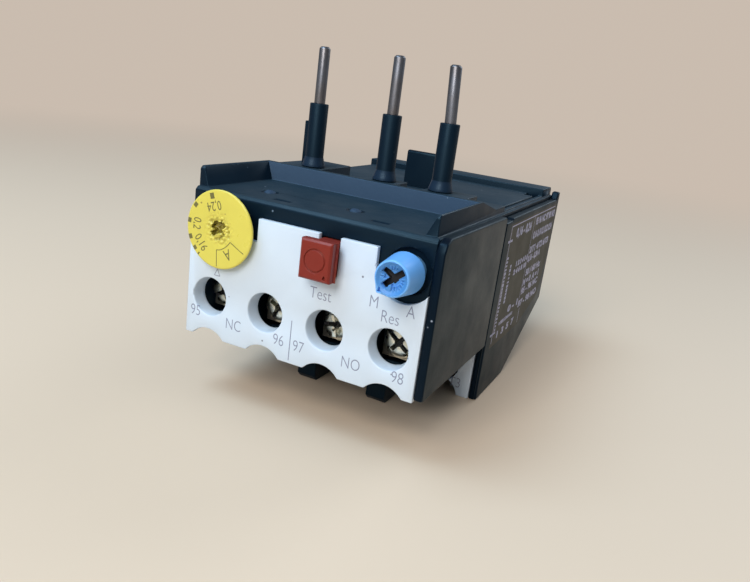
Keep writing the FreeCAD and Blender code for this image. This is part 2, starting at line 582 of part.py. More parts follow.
def square_wire(points, wire):
    """Sweep a square section along straight lengths, with mitred corners."""
    ahead = (points[1] - points[0]).normalize()
    side = ahead.cross(Vector(0, 1, 0) if abs(ahead.z) > abs(ahead.y) else Vector(0, 0, 1))
    side = side.normalize() * (wire / 2)
    up = ahead.cross(side).normalize() * (wire / 2)
    ring = [points[0] + side * a + up * b for a, b in ((-1, -1), (1, -1), (1, 1), (-1, 1))]
    section = Part.makePolygon(ring + [ring[0]])
    return Part.makePolygon(points).makePipeShell([section], True, False, 1)


def make_test_spring():
    return coil(TEST_X, TEST_Z, TEST_SPRING_R, TEST_WIRE, INNER_FRONT + 1.2, spring_seat_y() - 0.1)


def reset_seat_y():
    return INNER_FRONT + RESET_SEAT_DEPTH


def make_reset_plunger():
    """Stem of the reset button: stub for the knob, flange behind the wall, rod through the seat."""
    knob_back = PLATE_Y - 0.4
    stub = rod_y(RESET_X, RESET_Z, RESET_STUB_R, PLATE_Y - KNOB_OUT + RESET_STUB_COVER, knob_back + 0.3)
    stem = rod_y(RESET_X, RESET_Z, RESET_STEM_R, knob_back + 0.1, INNER_FRONT + 0.2)
    flange = rod_y(RESET_X, RESET_Z, FLANGE_R, INNER_FRONT + SEAT_GAP, INNER_FRONT + 1.1)
    rod = rod_y(RESET_X, RESET_Z, RESET_ROD_R, INNER_FRONT + 1.0, reset_seat_y() + SEAT_THICK + 0.2)
    return join([stub, stem, flange, rod])


def make_reset_knob():
    """Round knob with a pointer nose, turned between hand and automatic reset."""
    face = PLATE_Y - KNOB_OUT
    back = PLATE_Y - 0.4
    knob = cone_y(RESET_X, RESET_Z, RESET_TIP_R, RESET_R, face, back)
    knob = bevelled(knob, lambda b: b.YMax < face + 0.01, 0.3)
    angle = math.radians(RESET_POINTER_DEG)
    tip = (RESET_X + RESET_POINTER * math.cos(angle), RESET_Z + RESET_POINTER * math.sin(angle))
    flank = math.acos(RESET_TIP_R / RESET_POINTER)
    sides = [(RESET_X + RESET_TIP_R * math.cos(angle + s * flank),
              RESET_Z + RESET_TIP_R * math.sin(angle + s * flank)) for s in (-1, 1)]
    nose = prism_y([sides[0], tip, sides[1], (RESET_X, RESET_Z)], face + 0.3, back)
    cross = cross_recess(RESET_X, RESET_Z, face, 1.9, 0.7, 1.1, 40)
    bore = rod_y(RESET_X, RESET_Z, RESET_STUB_R + SHAFT_GAP, face + RESET_STUB_COVER - SEAT_GAP, back + 1)
    return carve(join([knob, nose]), cross + [bore])


def make_reset_spring():
    return coil(RESET_X, RESET_Z, RESET_SPRING_R, RESET_WIRE, INNER_FRONT + 1.2, reset_seat_y() - 0.1)


# ---------------------------------------------------------------- screws, washers and bars
def make_screw(x, z, head_y, size):
    """Clamp screw with a cross-and-slot recess in a slightly domed head."""
    r, h = size["head_r"], size["head_h"]
    head = rod_y(x, z, r, head_y, head_y + h)
    head = bevelled(head, lambda b: b.YMax < head_y + 0.01, 0.4)
    shank = rod_y(x, z, size["shank_r"], head_y + h - 0.1, head_y + h + size["length"])
    deep, half, reach = h * 0.6, size["slot"] / 2, r * 0.62
    cuts = [box(x - r - 1, x + r + 1, head_y - 1, head_y + h * 0.35, z - half, z + half),
            box(x - half, x + half, head_y - 1, head_y + deep, z - reach, z + reach),
            box(x - reach, x + reach, head_y - 1, head_y + deep, z - half, z + half)]
    tilt = 28
    cuts = [c.rotate(Vector(x, 0, z), Vector(0, 1, 0), tilt) for c in cuts]
    return carve(join([head, shank]), cuts)


def make_washer(x, z, y0, width, height, thick, shank_r):
    """Square clamp plate with its two wire edges turned back."""
    plate = box(x - width / 2, x + width / 2, y0, y0 + thick, z - height / 2, z + height / 2)
    groove = 0.3
    hollow = [box(x + s * width * 0.34 - 0.5, x + s * width * 0.34 + 0.5, y0 + thick - groove,
                  y0 + thick + 1, z - height, z + height) for s in (-1, 1)]
    return carve(plate, [rod_y(x, z, shank_r + SHAFT_GAP, y0 - 1, y0 + thick + 1)] + hollow)


def aux_washer_y():
    return PLATE_Y + AUX_HEAD_DEPTH + AUX_SCREW["head_h"] + HEAD_SEAT


def aux_bar_y():
    return aux_washer_y() + AUX_WASHER_T + SEAT_GAP


def main_washer_y():
    return T_FACE + MAIN_HEAD_DEPTH + MAIN_SCREW["head_h"] + HEAD_SEAT


def strap_y():
    return main_washer_y() + MAIN_WASHER_T + SEAT_GAP


def bar_base(x, top):
    y = aux_bar_y()
    plate = box(x - BAR_HALF, x + BAR_HALF, y, y + BAR_THICK, BAR_LOW, top)
    collar = rod_y(x, AUX_Z, 2.5, y + BAR_THICK - 0.1, y + BAR_THICK + 1.0)
    bore = rod_y(x, AUX_Z, AUX_SCREW["shank_r"] + SHAFT_GAP, y - 1, y + BAR_THICK + 2)
    return [plate, collar], bore


def make_break_bar(x):
    """Fixed contact of the break pair: a straight bar with its rivet on the rear face."""
    solids, bore = bar_base(x, CARRIER_LOW + CARRIER_HEIGHT)
    y = aux_bar_y() + BAR_THICK
    solids.append(rod_y(x, CONTACT_Z, RIVET_R, y - 0.1, y + 0.6))
    return carve(join(solids), [bore])


def make_contact_bar(x):
    """Fixed contact of the make pair: the bar runs under the carrier and faces forward."""
    shelf_z = CARRIER_LOW - 1.4
    solids, bore = bar_base(x, shelf_z + BAR_THICK)
    y = make_contact_y()
    solids.append(box(x - BAR_HALF, x + BAR_HALF, aux_bar_y(), y + 1.4, shelf_z, shelf_z + BAR_THICK))
    solids.append(box(x - BAR_HALF, x + BAR_HALF, y + 0.6, y + 1.4, shelf_z, CARRIER_LOW + CARRIER_HEIGHT))
    solids.append(rod_y(x, CONTACT_Z, RIVET_R, y, y + 0.7))
    return carve(join(solids), [bore])


def break_bridge_y():
    return aux_bar_y() + BAR_THICK + 0.6 + 0.05


def carrier_y():
    return break_bridge_y() + 0.6 + 0.5


def make_bridge_y():
    return carrier_y() + CARRIER_THICK


def make_contact_y():
    return make_bridge_y() + 0.5 + 0.6 + CARRIER_TRAVEL + 0.05


def bridge(x0, x1, y0, rivets_in_front):
    """Springy contact strip with a rivet at each end."""
    reach = 1.8
    strip_y = y0 + 0.6 if rivets_in_front else y0
    strip = box(x0 - reach, x1 + reach, strip_y, strip_y + 0.5, CONTACT_Z - 1.5, CONTACT_Z + 1.5)
    r0 = strip_y - 0.6 if rivets_in_front else strip_y + 0.4
    rivets = [rod_y(x, CONTACT_Z, RIVET_R, r0, r0 + 0.7) for x in (x0, x1)]
    return join([strip] + rivets)


def make_carrier():
    y0 = carrier_y()
    x0 = (AUX_X[0] + AUX_X[1]) / 2 - 1.0
    x1 = (AUX_X[2] + AUX_X[3]) / 2 + 1.0
    bar = box(x0, x1, y0, y0 + CARRIER_THICK, CARRIER_LOW, CARRIER_LOW + CARRIER_HEIGHT)
    post = box(x0, x0 + 1.2, y0, y0 + 3.0, CARRIER_LOW, LEVER_HIGH - 0.6)
    return join([bar, post])


# ---------------------------------------------------------------- poles
def make_load_strap(x):
    """Copper strap: threaded terminal plate, shelf to the rear and the tab that holds the bimetal."""
    y = strap_y()
    half = STRAP_WIDTH / 2
    upright = box(x - half, x + half, y, y + STRAP_THICK, POLE_RISE - 4.3, STRAP_RISE + STRAP_THICK)
    shelf = box(x - half, x + half, y, BIMETAL_Y + BIMETAL_WIDTH / 2, STRAP_RISE, STRAP_RISE + STRAP_THICK)
    tab_x = x + BIMETAL_THICK / 2 + SEAT_GAP
    tab = box(tab_x, tab_x + 1.0, BIMETAL_Y - BIMETAL_WIDTH / 2, BIMETAL_Y + BIMETAL_WIDTH / 2,
              STRAP_RISE, HEATER_START - 1.0)
    collar = rod_y(x, POLE_RISE, MAIN_SCREW["shank_r"] + 0.5, y + STRAP_THICK - 0.1, y + STRAP_THICK + 1.6)
    bore = rod_y(x, POLE_RISE, MAIN_SCREW["shank_r"] + SHAFT_GAP, y - 1, y + STRAP_THICK + 3)
    return carve(join([upright, shelf, tab, collar]), [bore])


def make_bimetal(x):
    half = BIMETAL_THICK / 2
    return box(x - half, x + half, BIMETAL_Y - BIMETAL_WIDTH / 2, BIMETAL_Y + BIMETAL_WIDTH / 2,
               BIMETAL_ROOT, BIMETAL_TOP)


def make_heater(x):
    """Square wire wound round the bimetal, with a lead at the upper end."""
    corners = []
    hx, hy = HEATER_HALF_X, HEATER_HALF_Y
    ring = [(-hx, -hy), (hx, -hy), (hx, hy), (-hx, hy)]
    for i in range(HEATER_TURNS * 4 + 1):
        cx, cy = ring[i % 4]
        corners.append(Vector(x + cx, BIMETAL_Y + cy, HEATER_START + i * HEATER_PITCH / 4))
    return square_wire(corners, HEATER_WIRE)


def make_line_pin(i):
    """Round pin, its foot inside and the blade that runs back to the heater."""
    x = PIN_X[i]
    blade_x = POLE_X[i] + HEATER_HALF_X + 1.3
    bare = bevelled(rod_z(x, PIN_Y, PIN_R, SLEEVE_TOP, PIN_TOP), lambda b: b.ZMin > PIN_TOP - 0.01, PIN_TIP)
    neck = square_rod(x, PIN_NECK, PIN_FOOT_Z, SLEEVE_TOP + 0.1)
    x0, x1 = min(x - 1.3, blade_x), max(x + 1.3, blade_x + 1.0)
    foot = box(x0, x1, PIN_Y - 1.4, PIN_Y + 1.4, PIN_FOOT_Z - 2.0, PIN_FOOT_Z + 0.1)
    blade = box(blade_x, blade_x + 1.0, PIN_Y - 1.4, BIMETAL_Y + 2.0, PIN_FOOT_Z - 5.0, PIN_FOOT_Z - 1.0)
    return join([bare, neck, foot, blade])


def square_rod(x, side, z0, z1):
    return box(x - side / 2, x + side / 2, PIN_Y - side / 2, PIN_Y + side / 2, z0, z1)


def make_pin_sleeve(i):
    """Insulating sleeve with a flared collar that seats on the pad."""
    x = PIN_X[i]
    tube = rod_z(x, PIN_Y, SLEEVE_R, CHAMBER_TOP, SLEEVE_TOP)
    foot = Vector(x, PIN_Y, RIDGE_Z + SEAT_GAP)
    flare = Part.makeCone(COLLAR_R, SLEEVE_R, COLLAR_HEIGHT, foot, Vector(0, 0, 1))
    solids = [tube, flare]
    if i == 0:
        solids.append(box(x - SLEEVE_R - SLEEVE_RIB, x, PIN_Y - SLEEVE_RIB, PIN_Y + SLEEVE_RIB,
                          RIDGE_Z + SEAT_GAP, SLEEVE_RIB_TOP))
    hole = square_rod(x, PIN_NECK + 2 * NECK_GAP, CHAMBER_TOP - 1, SLEEVE_TOP + 1)
    return carve(join(solids), [hole])


# ---------------------------------------------------------------- trip gear
def make_trip_slide():
    tip = LEVER_X + LEVER_THICK / 2 + SLIDE_GAP
    x0 = tip + 1.4
    x1 = POLE_X[-1] + 3.0
    top = SLIDE_Z + SLIDE_THICK
    plate = box(x0, x1, BIMETAL_Y - SLIDE_HALF, BIMETAL_Y + SLIDE_HALF, SLIDE_Z, top)
    finger = box(tip + 0.8, x0 + 0.1, BIMETAL_Y - 0.8, BIMETAL_Y + 0.8, SLIDE_Z, top)
    plate = join([plate, finger, rod_z(tip + 0.8, BIMETAL_Y, 0.8, SLIDE_Z, top)])
    half_x = BIMETAL_THICK / 2 + 0.3
    half_y = BIMETAL_WIDTH / 2 + 0.3
    slots = [box(x - half_x, x + half_x, BIMETAL_Y - half_y, BIMETAL_Y + half_y, SLIDE_Z - 1,
                 SLIDE_Z + SLIDE_THICK + 1) for x in POLE_X]
    return carve(plate, slots)


def make_trip_lever():
    """Compensating lever between the slide and the contact carrier, swinging on an upright pin."""
    half = LEVER_THICK / 2
    blade = box(LEVER_X - half, LEVER_X + half, carrier_y() + 0.8, BIMETAL_Y + 1.5, LEVER_LOW, LEVER_HIGH)
    boss = rod_z(LEVER_X, LEVER_PIVOT_Y, 2.0, LEVER_LOW, LEVER_HIGH)
    boss = boss.common(box(INNER_LEFT + 0.3, 0, -50, 50, 0, 60))
    nose = box(LEVER_X, LEVER_X + 3.6, carrier_y() + 0.8, carrier_y() + 2.0, LEVER_LOW, LEVER_HIGH - 0.8)
    bore = rod_z(LEVER_X, LEVER_PIVOT_Y, LEVER_PIN_R + SHAFT_GAP, LEVER_LOW - 1, LEVER_HIGH + 1)
    return carve(join([blade, boss, nose]), [bore])


def make_lever_pin():
    return rod_z(LEVER_X, LEVER_PIVOT_Y, LEVER_PIN_R, LEVER_LOW - 2.6, LEVER_HIGH + 0.8)


# ---------------------------------------------------------------- build
def build_front():
    save("housing", make_housing())
    save("side_cover", make_side_cover())
    save("top_cover", make_top_cover())
    save("contactor_hook", make_hook())
    save("front_plate", make_front_plate())
    save("terminal_plate", make_terminal_plate())
    save("setting_dial", make_setting_dial())
    save("dial_cam", make_dial_cam())
    save("test_button", make_test_button())
    save("test_spring", make_test_spring())
    save("reset_plunger", make_reset_plunger())
    save("reset_knob", make_reset_knob())
    save("reset_spring", make_reset_spring())


def build_terminals():
    bars = (make_break_bar, make_break_bar, make_contact_bar, make_contact_bar)
    for number, x, bar in zip((95, 96, 97, 98), AUX_X, bars):
        save("screw_%d" % number, make_screw(x, AUX_Z, PLATE_Y + AUX_HEAD_DEPTH, AUX_SCREW))
        save("clamp_%d" % number, make_washer(x, AUX_Z, aux_washer_y(), AUX_WASHER_W, AUX_WASHER_H,
                                              AUX_WASHER_T, AUX_SCREW["shank_r"]))
        save("contact_bar_%d" % number, bar(x))
    save("break_bridge", bridge(AUX_X[0], AUX_X[1], break_bridge_y(), True))
    save("make_bridge", bridge(AUX_X[2], AUX_X[3], make_bridge_y(), False))
    save("contact_carrier", make_carrier())


def build_poles():
    for i, x in enumerate(POLE_X):
        pole = i + 1
        save("main_screw_%d" % pole, make_screw(x, POLE_RISE, T_FACE + MAIN_HEAD_DEPTH, MAIN_SCREW))
        save("main_clamp_%d" % pole, make_washer(x, POLE_RISE, main_washer_y(), MAIN_WASHER_W,
                                                 MAIN_WASHER_H, MAIN_WASHER_T, MAIN_SCREW["shank_r"]))
        save("load_strap_%d" % pole, make_load_strap(x))
        save("bimetal_%d" % pole, make_bimetal(x))
        save("heater_%d" % pole, make_heater(x))
        save("line_pin_%d" % pole, make_line_pin(i))
        save("pin_sleeve_%d" % pole, make_pin_sleeve(i))
    save("trip_slide", make_trip_slide())
    save("trip_lever", make_trip_lever())
    save("lever_pin", make_lever_pin())


def main():
    os.makedirs("parts", exist_ok=True)
    build_front()
    build_terminals()
    build_poles()


main()
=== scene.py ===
# %% [markdown]
# # Dressing a thermal overload relay
# The relay is 45 mm wide and stands under a contactor. Its solids come ready made, each at its
# real place, and this lesson gives them rounded edges, mouldings, print and finishes. Everything
# is in metres, and every place is read from the solids, so nothing has to be fitted by eye.

# %% Load the solids and keep their box
import json
import math

import bmesh
import bpy
from mathutils import Matrix, Vector, noise


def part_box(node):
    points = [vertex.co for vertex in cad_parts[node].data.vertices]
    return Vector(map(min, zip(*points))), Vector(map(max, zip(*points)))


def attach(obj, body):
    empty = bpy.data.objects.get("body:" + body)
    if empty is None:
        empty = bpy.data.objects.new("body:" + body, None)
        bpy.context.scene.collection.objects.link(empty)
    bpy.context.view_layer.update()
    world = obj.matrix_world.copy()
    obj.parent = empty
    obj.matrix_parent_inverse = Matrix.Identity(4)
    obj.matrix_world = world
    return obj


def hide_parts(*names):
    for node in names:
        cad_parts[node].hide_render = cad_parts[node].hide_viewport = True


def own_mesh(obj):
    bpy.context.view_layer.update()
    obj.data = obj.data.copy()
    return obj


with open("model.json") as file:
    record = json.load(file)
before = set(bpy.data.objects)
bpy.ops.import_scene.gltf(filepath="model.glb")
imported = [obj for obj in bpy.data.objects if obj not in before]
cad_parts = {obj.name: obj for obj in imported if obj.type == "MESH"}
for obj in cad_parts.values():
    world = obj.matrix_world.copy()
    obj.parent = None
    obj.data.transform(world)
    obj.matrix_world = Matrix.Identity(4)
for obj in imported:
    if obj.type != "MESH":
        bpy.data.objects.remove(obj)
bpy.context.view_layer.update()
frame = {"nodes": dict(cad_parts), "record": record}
nodes = frame["nodes"]
MM = 0.001
body_of = {node: body for body, members in frame["record"]["behaviour"]["bodies"].items() for node in members}
slot_of = {part["node"]: part["material_slot"] for part in frame["record"]["subparts"]}

# %% [markdown]
# ## Small helpers for node trees
# Materials and Geometry Nodes are both trees of nodes. One helper that adds a node, sets its
# values and links its inputs keeps every later cell short.

# %% Helpers: add a node, add a sum, start a group
def add(tree, kind, settings=None, **inputs):
    made = tree.nodes.new(kind)
    for name, value in (settings or {}).items():
        setattr(made, name, value)
    for name, value in inputs.items():
        socket = made.inputs[name.replace("_", " ")]
        if isinstance(value, bpy.types.NodeSocket):
            tree.links.new(value, socket)
        else:
            socket.default_value = value
    return made


def maths(tree, operation, *values):
    made = tree.nodes.new("ShaderNodeMath")
    made.operation = operation
    for socket, value in zip(made.inputs, values):
        if isinstance(value, bpy.types.NodeSocket):
            tree.links.new(value, socket)
        else:
            socket.default_value = value
    return made.outputs[0]


def start_group(name, kind, inputs, outputs):
    group = bpy.data.node_groups.new(name, kind)
    for label, socket_type, value in inputs:
        socket = group.interface.new_socket(label, in_out="INPUT", socket_type=socket_type)
        if value is not None:
            socket.default_value = value
    for label, socket_type in outputs:
        group.interface.new_socket(label, in_out="OUTPUT", socket_type=socket_type)
    return group, group.nodes.new("NodeGroupInput"), group.nodes.new("NodeGroupOutput")


FLOAT = "NodeSocketFloat"
print("helpers ready")

# %% [markdown]
# ## Effects that several finishes share
# Moulded plastic has a fine eroded grain, softly uneven gloss, edges rubbed paler by handling and
# a little dust where it faces up. Each effect is one shader group with named inputs, so that every
# material can use it at its own strength. A group gives out only masks and heights.

# %% Group: grain of a moulded or rolled surface
grain_group, inside, outside = start_group(
    "Surface grain", "ShaderNodeTree", [("Scale", FLOAT, 2500.0), ("Stretch", FLOAT, 1.0)],
    [("Height", FLOAT), ("Blotches", FLOAT), ("Streaks", FLOAT)])
place = add(grain_group, "ShaderNodeTexCoord").outputs["Object"]
stretch = add(grain_group, "ShaderNodeCombineXYZ", X=1.0, Y=1.0, Z=inside.outputs["Stretch"])
drawn = add(grain_group, "ShaderNodeVectorMath", {"operation": "MULTIPLY"})
grain_group.links.new(place, drawn.inputs[0])
grain_group.links.new(stretch.outputs[0], drawn.inputs[1])
fine = add(grain_group, "ShaderNodeTexNoise", Vector=drawn.outputs[0], Scale=inside.outputs["Scale"], Detail=3.0)
pits = add(grain_group, "ShaderNodeTexVoronoi", Vector=drawn.outputs[0], Scale=inside.outputs["Scale"])
broad = add(grain_group, "ShaderNodeTexNoise", Vector=place, Scale=140.0, Detail=5.0, Roughness=0.6)
height = maths(grain_group, "ADD", fine.outputs["Fac"], maths(grain_group, "MULTIPLY", pits.outputs["Distance"], 0.5))
grain_group.links.new(height, outside.inputs["Height"])
grain_group.links.new(broad.outputs["Fac"], outside.inputs["Blotches"])
upright = add(grain_group, "ShaderNodeMapping", Vector=place, Scale=(1.0, 1.0, 0.03))
lines = add(grain_group, "ShaderNodeTexNoise", Vector=upright.outputs[0], Scale=2000.0, Detail=3.0)
grain_group.links.new(lines.outputs["Fac"], outside.inputs["Streaks"])
print("group:", grain_group.name)

# %% Group: edges rubbed by handling
wear_group, inside, outside = start_group(
    "Rubbed edges", "ShaderNodeTree", [("Radius", FLOAT, 0.0003), ("Amount", FLOAT, 0.5)], [("Mask", FLOAT)])
rounded = add(wear_group, "ShaderNodeBevel", {"samples": 4}, Radius=inside.outputs["Radius"])
facing = add(wear_group, "ShaderNodeNewGeometry")
agree = add(wear_group, "ShaderNodeVectorMath", {"operation": "DOT_PRODUCT"})
wear_group.links.new(rounded.outputs[0], agree.inputs[0])
wear_group.links.new(facing.outputs["Normal"], agree.inputs[1])
edge = add(wear_group, "ShaderNodeMapRange", Value=agree.outputs["Value"], From_Min=0.995, From_Max=0.80)
place = add(wear_group, "ShaderNodeTexCoord").outputs["Object"]
broken = add(wear_group, "ShaderNodeTexNoise", Vector=place, Scale=900.0, Detail=4.0, Roughness=0.7)
patchy = add(wear_group, "ShaderNodeMapRange", Value=broken.outputs["Fac"], From_Min=0.42, From_Max=0.62)
mask = maths(wear_group, "MULTIPLY", maths(wear_group, "MULTIPLY", edge.outputs[0], patchy.outputs[0]),
             inside.outputs["Amount"])
wear_group.links.new(mask, outside.inputs["Mask"])
print("group:", wear_group.name)

# %% Group: dust on what faces up, and stray specks
dust_group, inside, outside = start_group(
    "Dust and specks", "ShaderNodeTree", [("Amount", FLOAT, 0.2), ("Specks", FLOAT, 0.1)],
    [("Dust", FLOAT), ("Speck", FLOAT)])
facing = add(dust_group, "ShaderNodeNewGeometry")
split = add(dust_group, "ShaderNodeSeparateXYZ", Vector=facing.outputs["Normal"])
level = add(dust_group, "ShaderNodeMapRange", Value=split.outputs["Z"], From_Min=0.3, From_Max=1.0)
place = add(dust_group, "ShaderNodeTexCoord").outputs["Object"]
cloud = add(dust_group, "ShaderNodeTexNoise", Vector=place, Scale=260.0, Detail=6.0, Roughness=0.75)
settled = add(dust_group, "ShaderNodeMapRange", Value=cloud.outputs["Fac"], From_Min=0.4, From_Max=0.75)
dots = add(dust_group, "ShaderNodeTexVoronoi", Vector=place, Scale=420.0)
near = add(dust_group, "ShaderNodeMapRange", Value=dots.outputs["Distance"], From_Min=0.09, From_Max=0.05)
pick = add(dust_group, "ShaderNodeSeparateColor", Color=dots.outputs["Color"])
rare = maths(dust_group, "LESS_THAN", pick.outputs[0], inside.outputs["Specks"])
dust = maths(dust_group, "MULTIPLY", maths(dust_group, "MULTIPLY", level.outputs[0], settled.outputs[0]),
             inside.outputs["Amount"])
dust_group.links.new(dust, outside.inputs["Dust"])
dust_group.links.new(maths(dust_group, "MULTIPLY", near.outputs[0], rare), outside.inputs["Speck"])
print("group:", dust_group.name)

# %% Group: staining and painted shade, darker with depth in a recess
recess_group, inside, outside = start_group(
    "Dirt and painted shade in a recess", "ShaderNodeTree",
    [("Centre", "NodeSocketVector", (0.0, 0.0, 0.0)), ("Reach", FLOAT, 0.002), ("Depth", FLOAT, 0.0004)],
    [("Mask", FLOAT)])
place = add(recess_group, "ShaderNodeTexCoord").outputs["Object"]
offset = add(recess_group, "ShaderNodeVectorMath", {"operation": "SUBTRACT"})
recess_group.links.new(place, offset.inputs[0])
recess_group.links.new(inside.outputs["Centre"], offset.inputs[1])
parts = add(recess_group, "ShaderNodeSeparateXYZ", Vector=offset.outputs[0])
flat = add(recess_group, "ShaderNodeCombineXYZ", X=parts.outputs["X"], Z=parts.outputs["Z"])
apart = add(recess_group, "ShaderNodeVectorMath", {"operation": "LENGTH"})
recess_group.links.new(flat.outputs[0], apart.inputs[0])
sunk = maths(recess_group, "DIVIDE", parts.outputs["Y"], inside.outputs["Depth"])
sunk = add(recess_group, "ShaderNodeMapRange", Value=sunk, From_Min=0.15, From_Max=1.0)
close = maths(recess_group, "LESS_THAN", apart.outputs["Value"], inside.outputs["Reach"])
recess_group.links.new(maths(recess_group, "MULTIPLY", sunk.outputs[0], close), outside.inputs["Mask"])
print("group:", recess_group.name)

# %% [markdown]
# ## Finishes
# Plastics are one recipe with their own colour, gloss, grain and wear. The Principled shader stays
# in the material, the groups only feed it. Plated and rolled metals are a second recipe: their
# colour drifts a little, they have fine lines from drawing or stamping, and grime sits in them.

# %% Recipe: moulded plastic
finishes = {}


def use_group(tree, group, **values):
    made = tree.nodes.new("ShaderNodeGroup")
    made.node_tree = group
    for name, value in values.items():
        made.inputs[name].default_value = value
    return made.outputs


def blend(tree, factor, under, over):
    mix = add(tree, "ShaderNodeMix", {"data_type": "RGBA"})
    for index, value in ((0, factor), (6, under), (7, over)):
        if isinstance(value, bpy.types.NodeSocket):
            tree.links.new(value, mix.inputs[index])
        else:
            mix.inputs[index].default_value = value
    return mix.outputs[2]


def grey(level):
    return (level, level, level, 1.0)


def moulded(name, colour, roughness, grain=2500.0, depth=0.00001, worn=(0.3, 0.3, 0.3), wear=0.4,
            dust=0.2, specks=0.05, speck=(0.02, 0.02, 0.02), uneven=0.12, specular=0.5, sheen=(1.0, 1.0, 1.0),
            streaks=0.0, recess=None):
    material = bpy.data.materials.new(name)
    material.use_nodes = True
    tree = material.node_tree
    shader = tree.nodes["Principled BSDF"]
    surface = use_group(tree, grain_group, Scale=grain)
    edges = use_group(tree, wear_group, Amount=wear)
    settled = use_group(tree, dust_group, Amount=dust, Specks=specks)
    shade = add(tree, "ShaderNodeMapRange", Value=surface["Blotches"], From_Min=0.3, From_Max=0.7,
                To_Min=0.0, To_Max=uneven)
    paint = blend(tree, shade.outputs[0], (*colour, 1.0), tuple(c * 0.55 for c in colour) + (1.0,))
    if streaks:
        facing = add(tree, "ShaderNodeSeparateXYZ", Vector=add(tree, "ShaderNodeNewGeometry").outputs["Normal"])
        sideways = maths(tree, "MULTIPLY", maths(tree, "ABSOLUTE", facing.outputs["X"]), streaks)
        paint = blend(tree, maths(tree, "MULTIPLY", surface["Streaks"], sideways), paint, (*worn, 1.0))
    paint = blend(tree, edges["Mask"], paint, (*worn, 1.0))
    # Darker with depth in a recess: brown staining with painted shade on the dial, painted shade on the knob.
    if recess:
        centre, reach, deep, dirt_and_shade = recess
        recess_darkening = use_group(tree, recess_group, Centre=centre, Reach=reach, Depth=deep)
        patchy = add(tree, "ShaderNodeMapRange", Value=surface["Height"], From_Min=0.35, From_Max=0.85,
                     To_Min=1.0, To_Max=0.72)
        paint = blend(tree, maths(tree, "MULTIPLY", recess_darkening["Mask"], patchy.outputs[0]), paint, (*dirt_and_shade, 1.0))
    paint = blend(tree, settled["Dust"], paint, (0.32, 0.31, 0.30, 1.0))
    paint = blend(tree, settled["Speck"], paint, (*speck, 1.0))
    tree.links.new(paint, shader.inputs["Base Color"])
    gloss = add(tree, "ShaderNodeMapRange", Value=surface["Blotches"], From_Min=0.3, From_Max=0.7,
                To_Min=roughness - 0.06, To_Max=roughness + 0.10)
    tree.links.new(gloss.outputs[0], shader.inputs["Roughness"])
    shader.inputs["Specular IOR Level"].default_value = specular
    shader.inputs["Specular Tint"].default_value = (*sheen, 1.0)
    bump = add(tree, "ShaderNodeBump", Strength=0.6, Distance=depth, Height=surface["Height"])
    tree.links.new(bump.outputs[0], shader.inputs["Normal"])
    finishes[name] = material
    return material


print("recipe: moulded plastic")

# %% Recipe: plated, drawn or stamped metal
def metal(name, colour, roughness, tarnish, amount=0.35, grain=1200.0, stretch=1.0, depth=0.000008):
    material = bpy.data.materials.new(name)
    material.use_nodes = True
    tree = material.node_tree
    shader = tree.nodes["Principled BSDF"]
    surface = use_group(tree, grain_group, Scale=grain, Stretch=stretch)
    edges = use_group(tree, wear_group, Amount=0.5, Radius=0.00015)
    stain = add(tree, "ShaderNodeMapRange", Value=surface["Blotches"], From_Min=0.42, From_Max=0.66,
                To_Min=0.0, To_Max=amount)
    paint = blend(tree, stain.outputs[0], (*colour, 1.0), (*tarnish, 1.0))
    paint = blend(tree, edges["Mask"], paint, tuple(min(1.0, c * 1.25) for c in colour) + (1.0,))
    tree.links.new(paint, shader.inputs["Base Color"])
    shader.inputs["Metallic"].default_value = 1.0
    gloss = add(tree, "ShaderNodeMapRange", Value=surface["Height"], From_Min=0.3, From_Max=1.0,
                To_Min=roughness - 0.08, To_Max=roughness + 0.16)
    tree.links.new(gloss.outputs[0], shader.inputs["Roughness"])
    bump = add(tree, "ShaderNodeBump", Strength=0.5, Distance=depth, Height=surface["Height"])
    tree.links.new(bump.outputs[0], shader.inputs["Normal"])
    finishes[name] = material
    return material


print("recipe: metal")

# %% Places that two finishes need: the faces of the dial and of the knob
dial_low, dial_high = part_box("setting_dial")
dial_at = Vector(((dial_low.x + dial_high.x) / 2, dial_low.y, (dial_low.z + dial_high.z) / 2))
knob_low, knob_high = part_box("reset_knob")
stem_low, stem_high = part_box("reset_plunger")
knob_at = Vector(((stem_low.x + stem_high.x) / 2, knob_low.y, (stem_low.z + stem_high.z) / 2))
print("dial face at mm", [round(v / MM, 2) for v in dial_at], "knob face at mm", [round(v / MM, 2) for v in knob_at])

# %% Mix the finishes of the relay: plastics and print
moulded("black_plastic", (0.0022, 0.0078, 0.0165), 0.42, grain=3200, depth=0.000010, worn=(0.035, 0.070, 0.11),
        wear=0.35, dust=0.010, specks=0.14, speck=(0.16, 0.22, 0.30), specular=0.26, sheen=(0.42, 0.76, 1.0))
moulded("cover_plastic", (0.0040, 0.0085, 0.0130), 0.46, grain=2400, depth=0.000012, worn=(0.040, 0.055, 0.062),
        wear=0.30, dust=0.01, specks=0.10, speck=(0.12, 0.14, 0.18), specular=0.26, sheen=(0.56, 0.84, 1.0),
        streaks=0.42, uneven=0.06)
# A lighter blue copy of the black plastic: painted sheen, for the sloping front of the ridge and the tray blisters.
moulded("painted_sheen_plastic", (0.024, 0.048, 0.088), 0.54, grain=1900, depth=0.000030, worn=(0.06, 0.11, 0.17),
        wear=0.30, dust=0.01, specks=0.14, speck=(0.22, 0.28, 0.36), specular=0.30, sheen=(0.60, 0.82, 1.0))
# A lighter navy finish for the sloping collars of the pin sleeves: painted sheen.
moulded("collar_painted_sheen", (0.008, 0.020, 0.042), 0.40, grain=2600, depth=0.000010, worn=(0.05, 0.08, 0.13),
        wear=0.30, dust=0.01, specks=0.10, speck=(0.20, 0.24, 0.32), specular=0.34, sheen=(0.55, 0.80, 1.0))
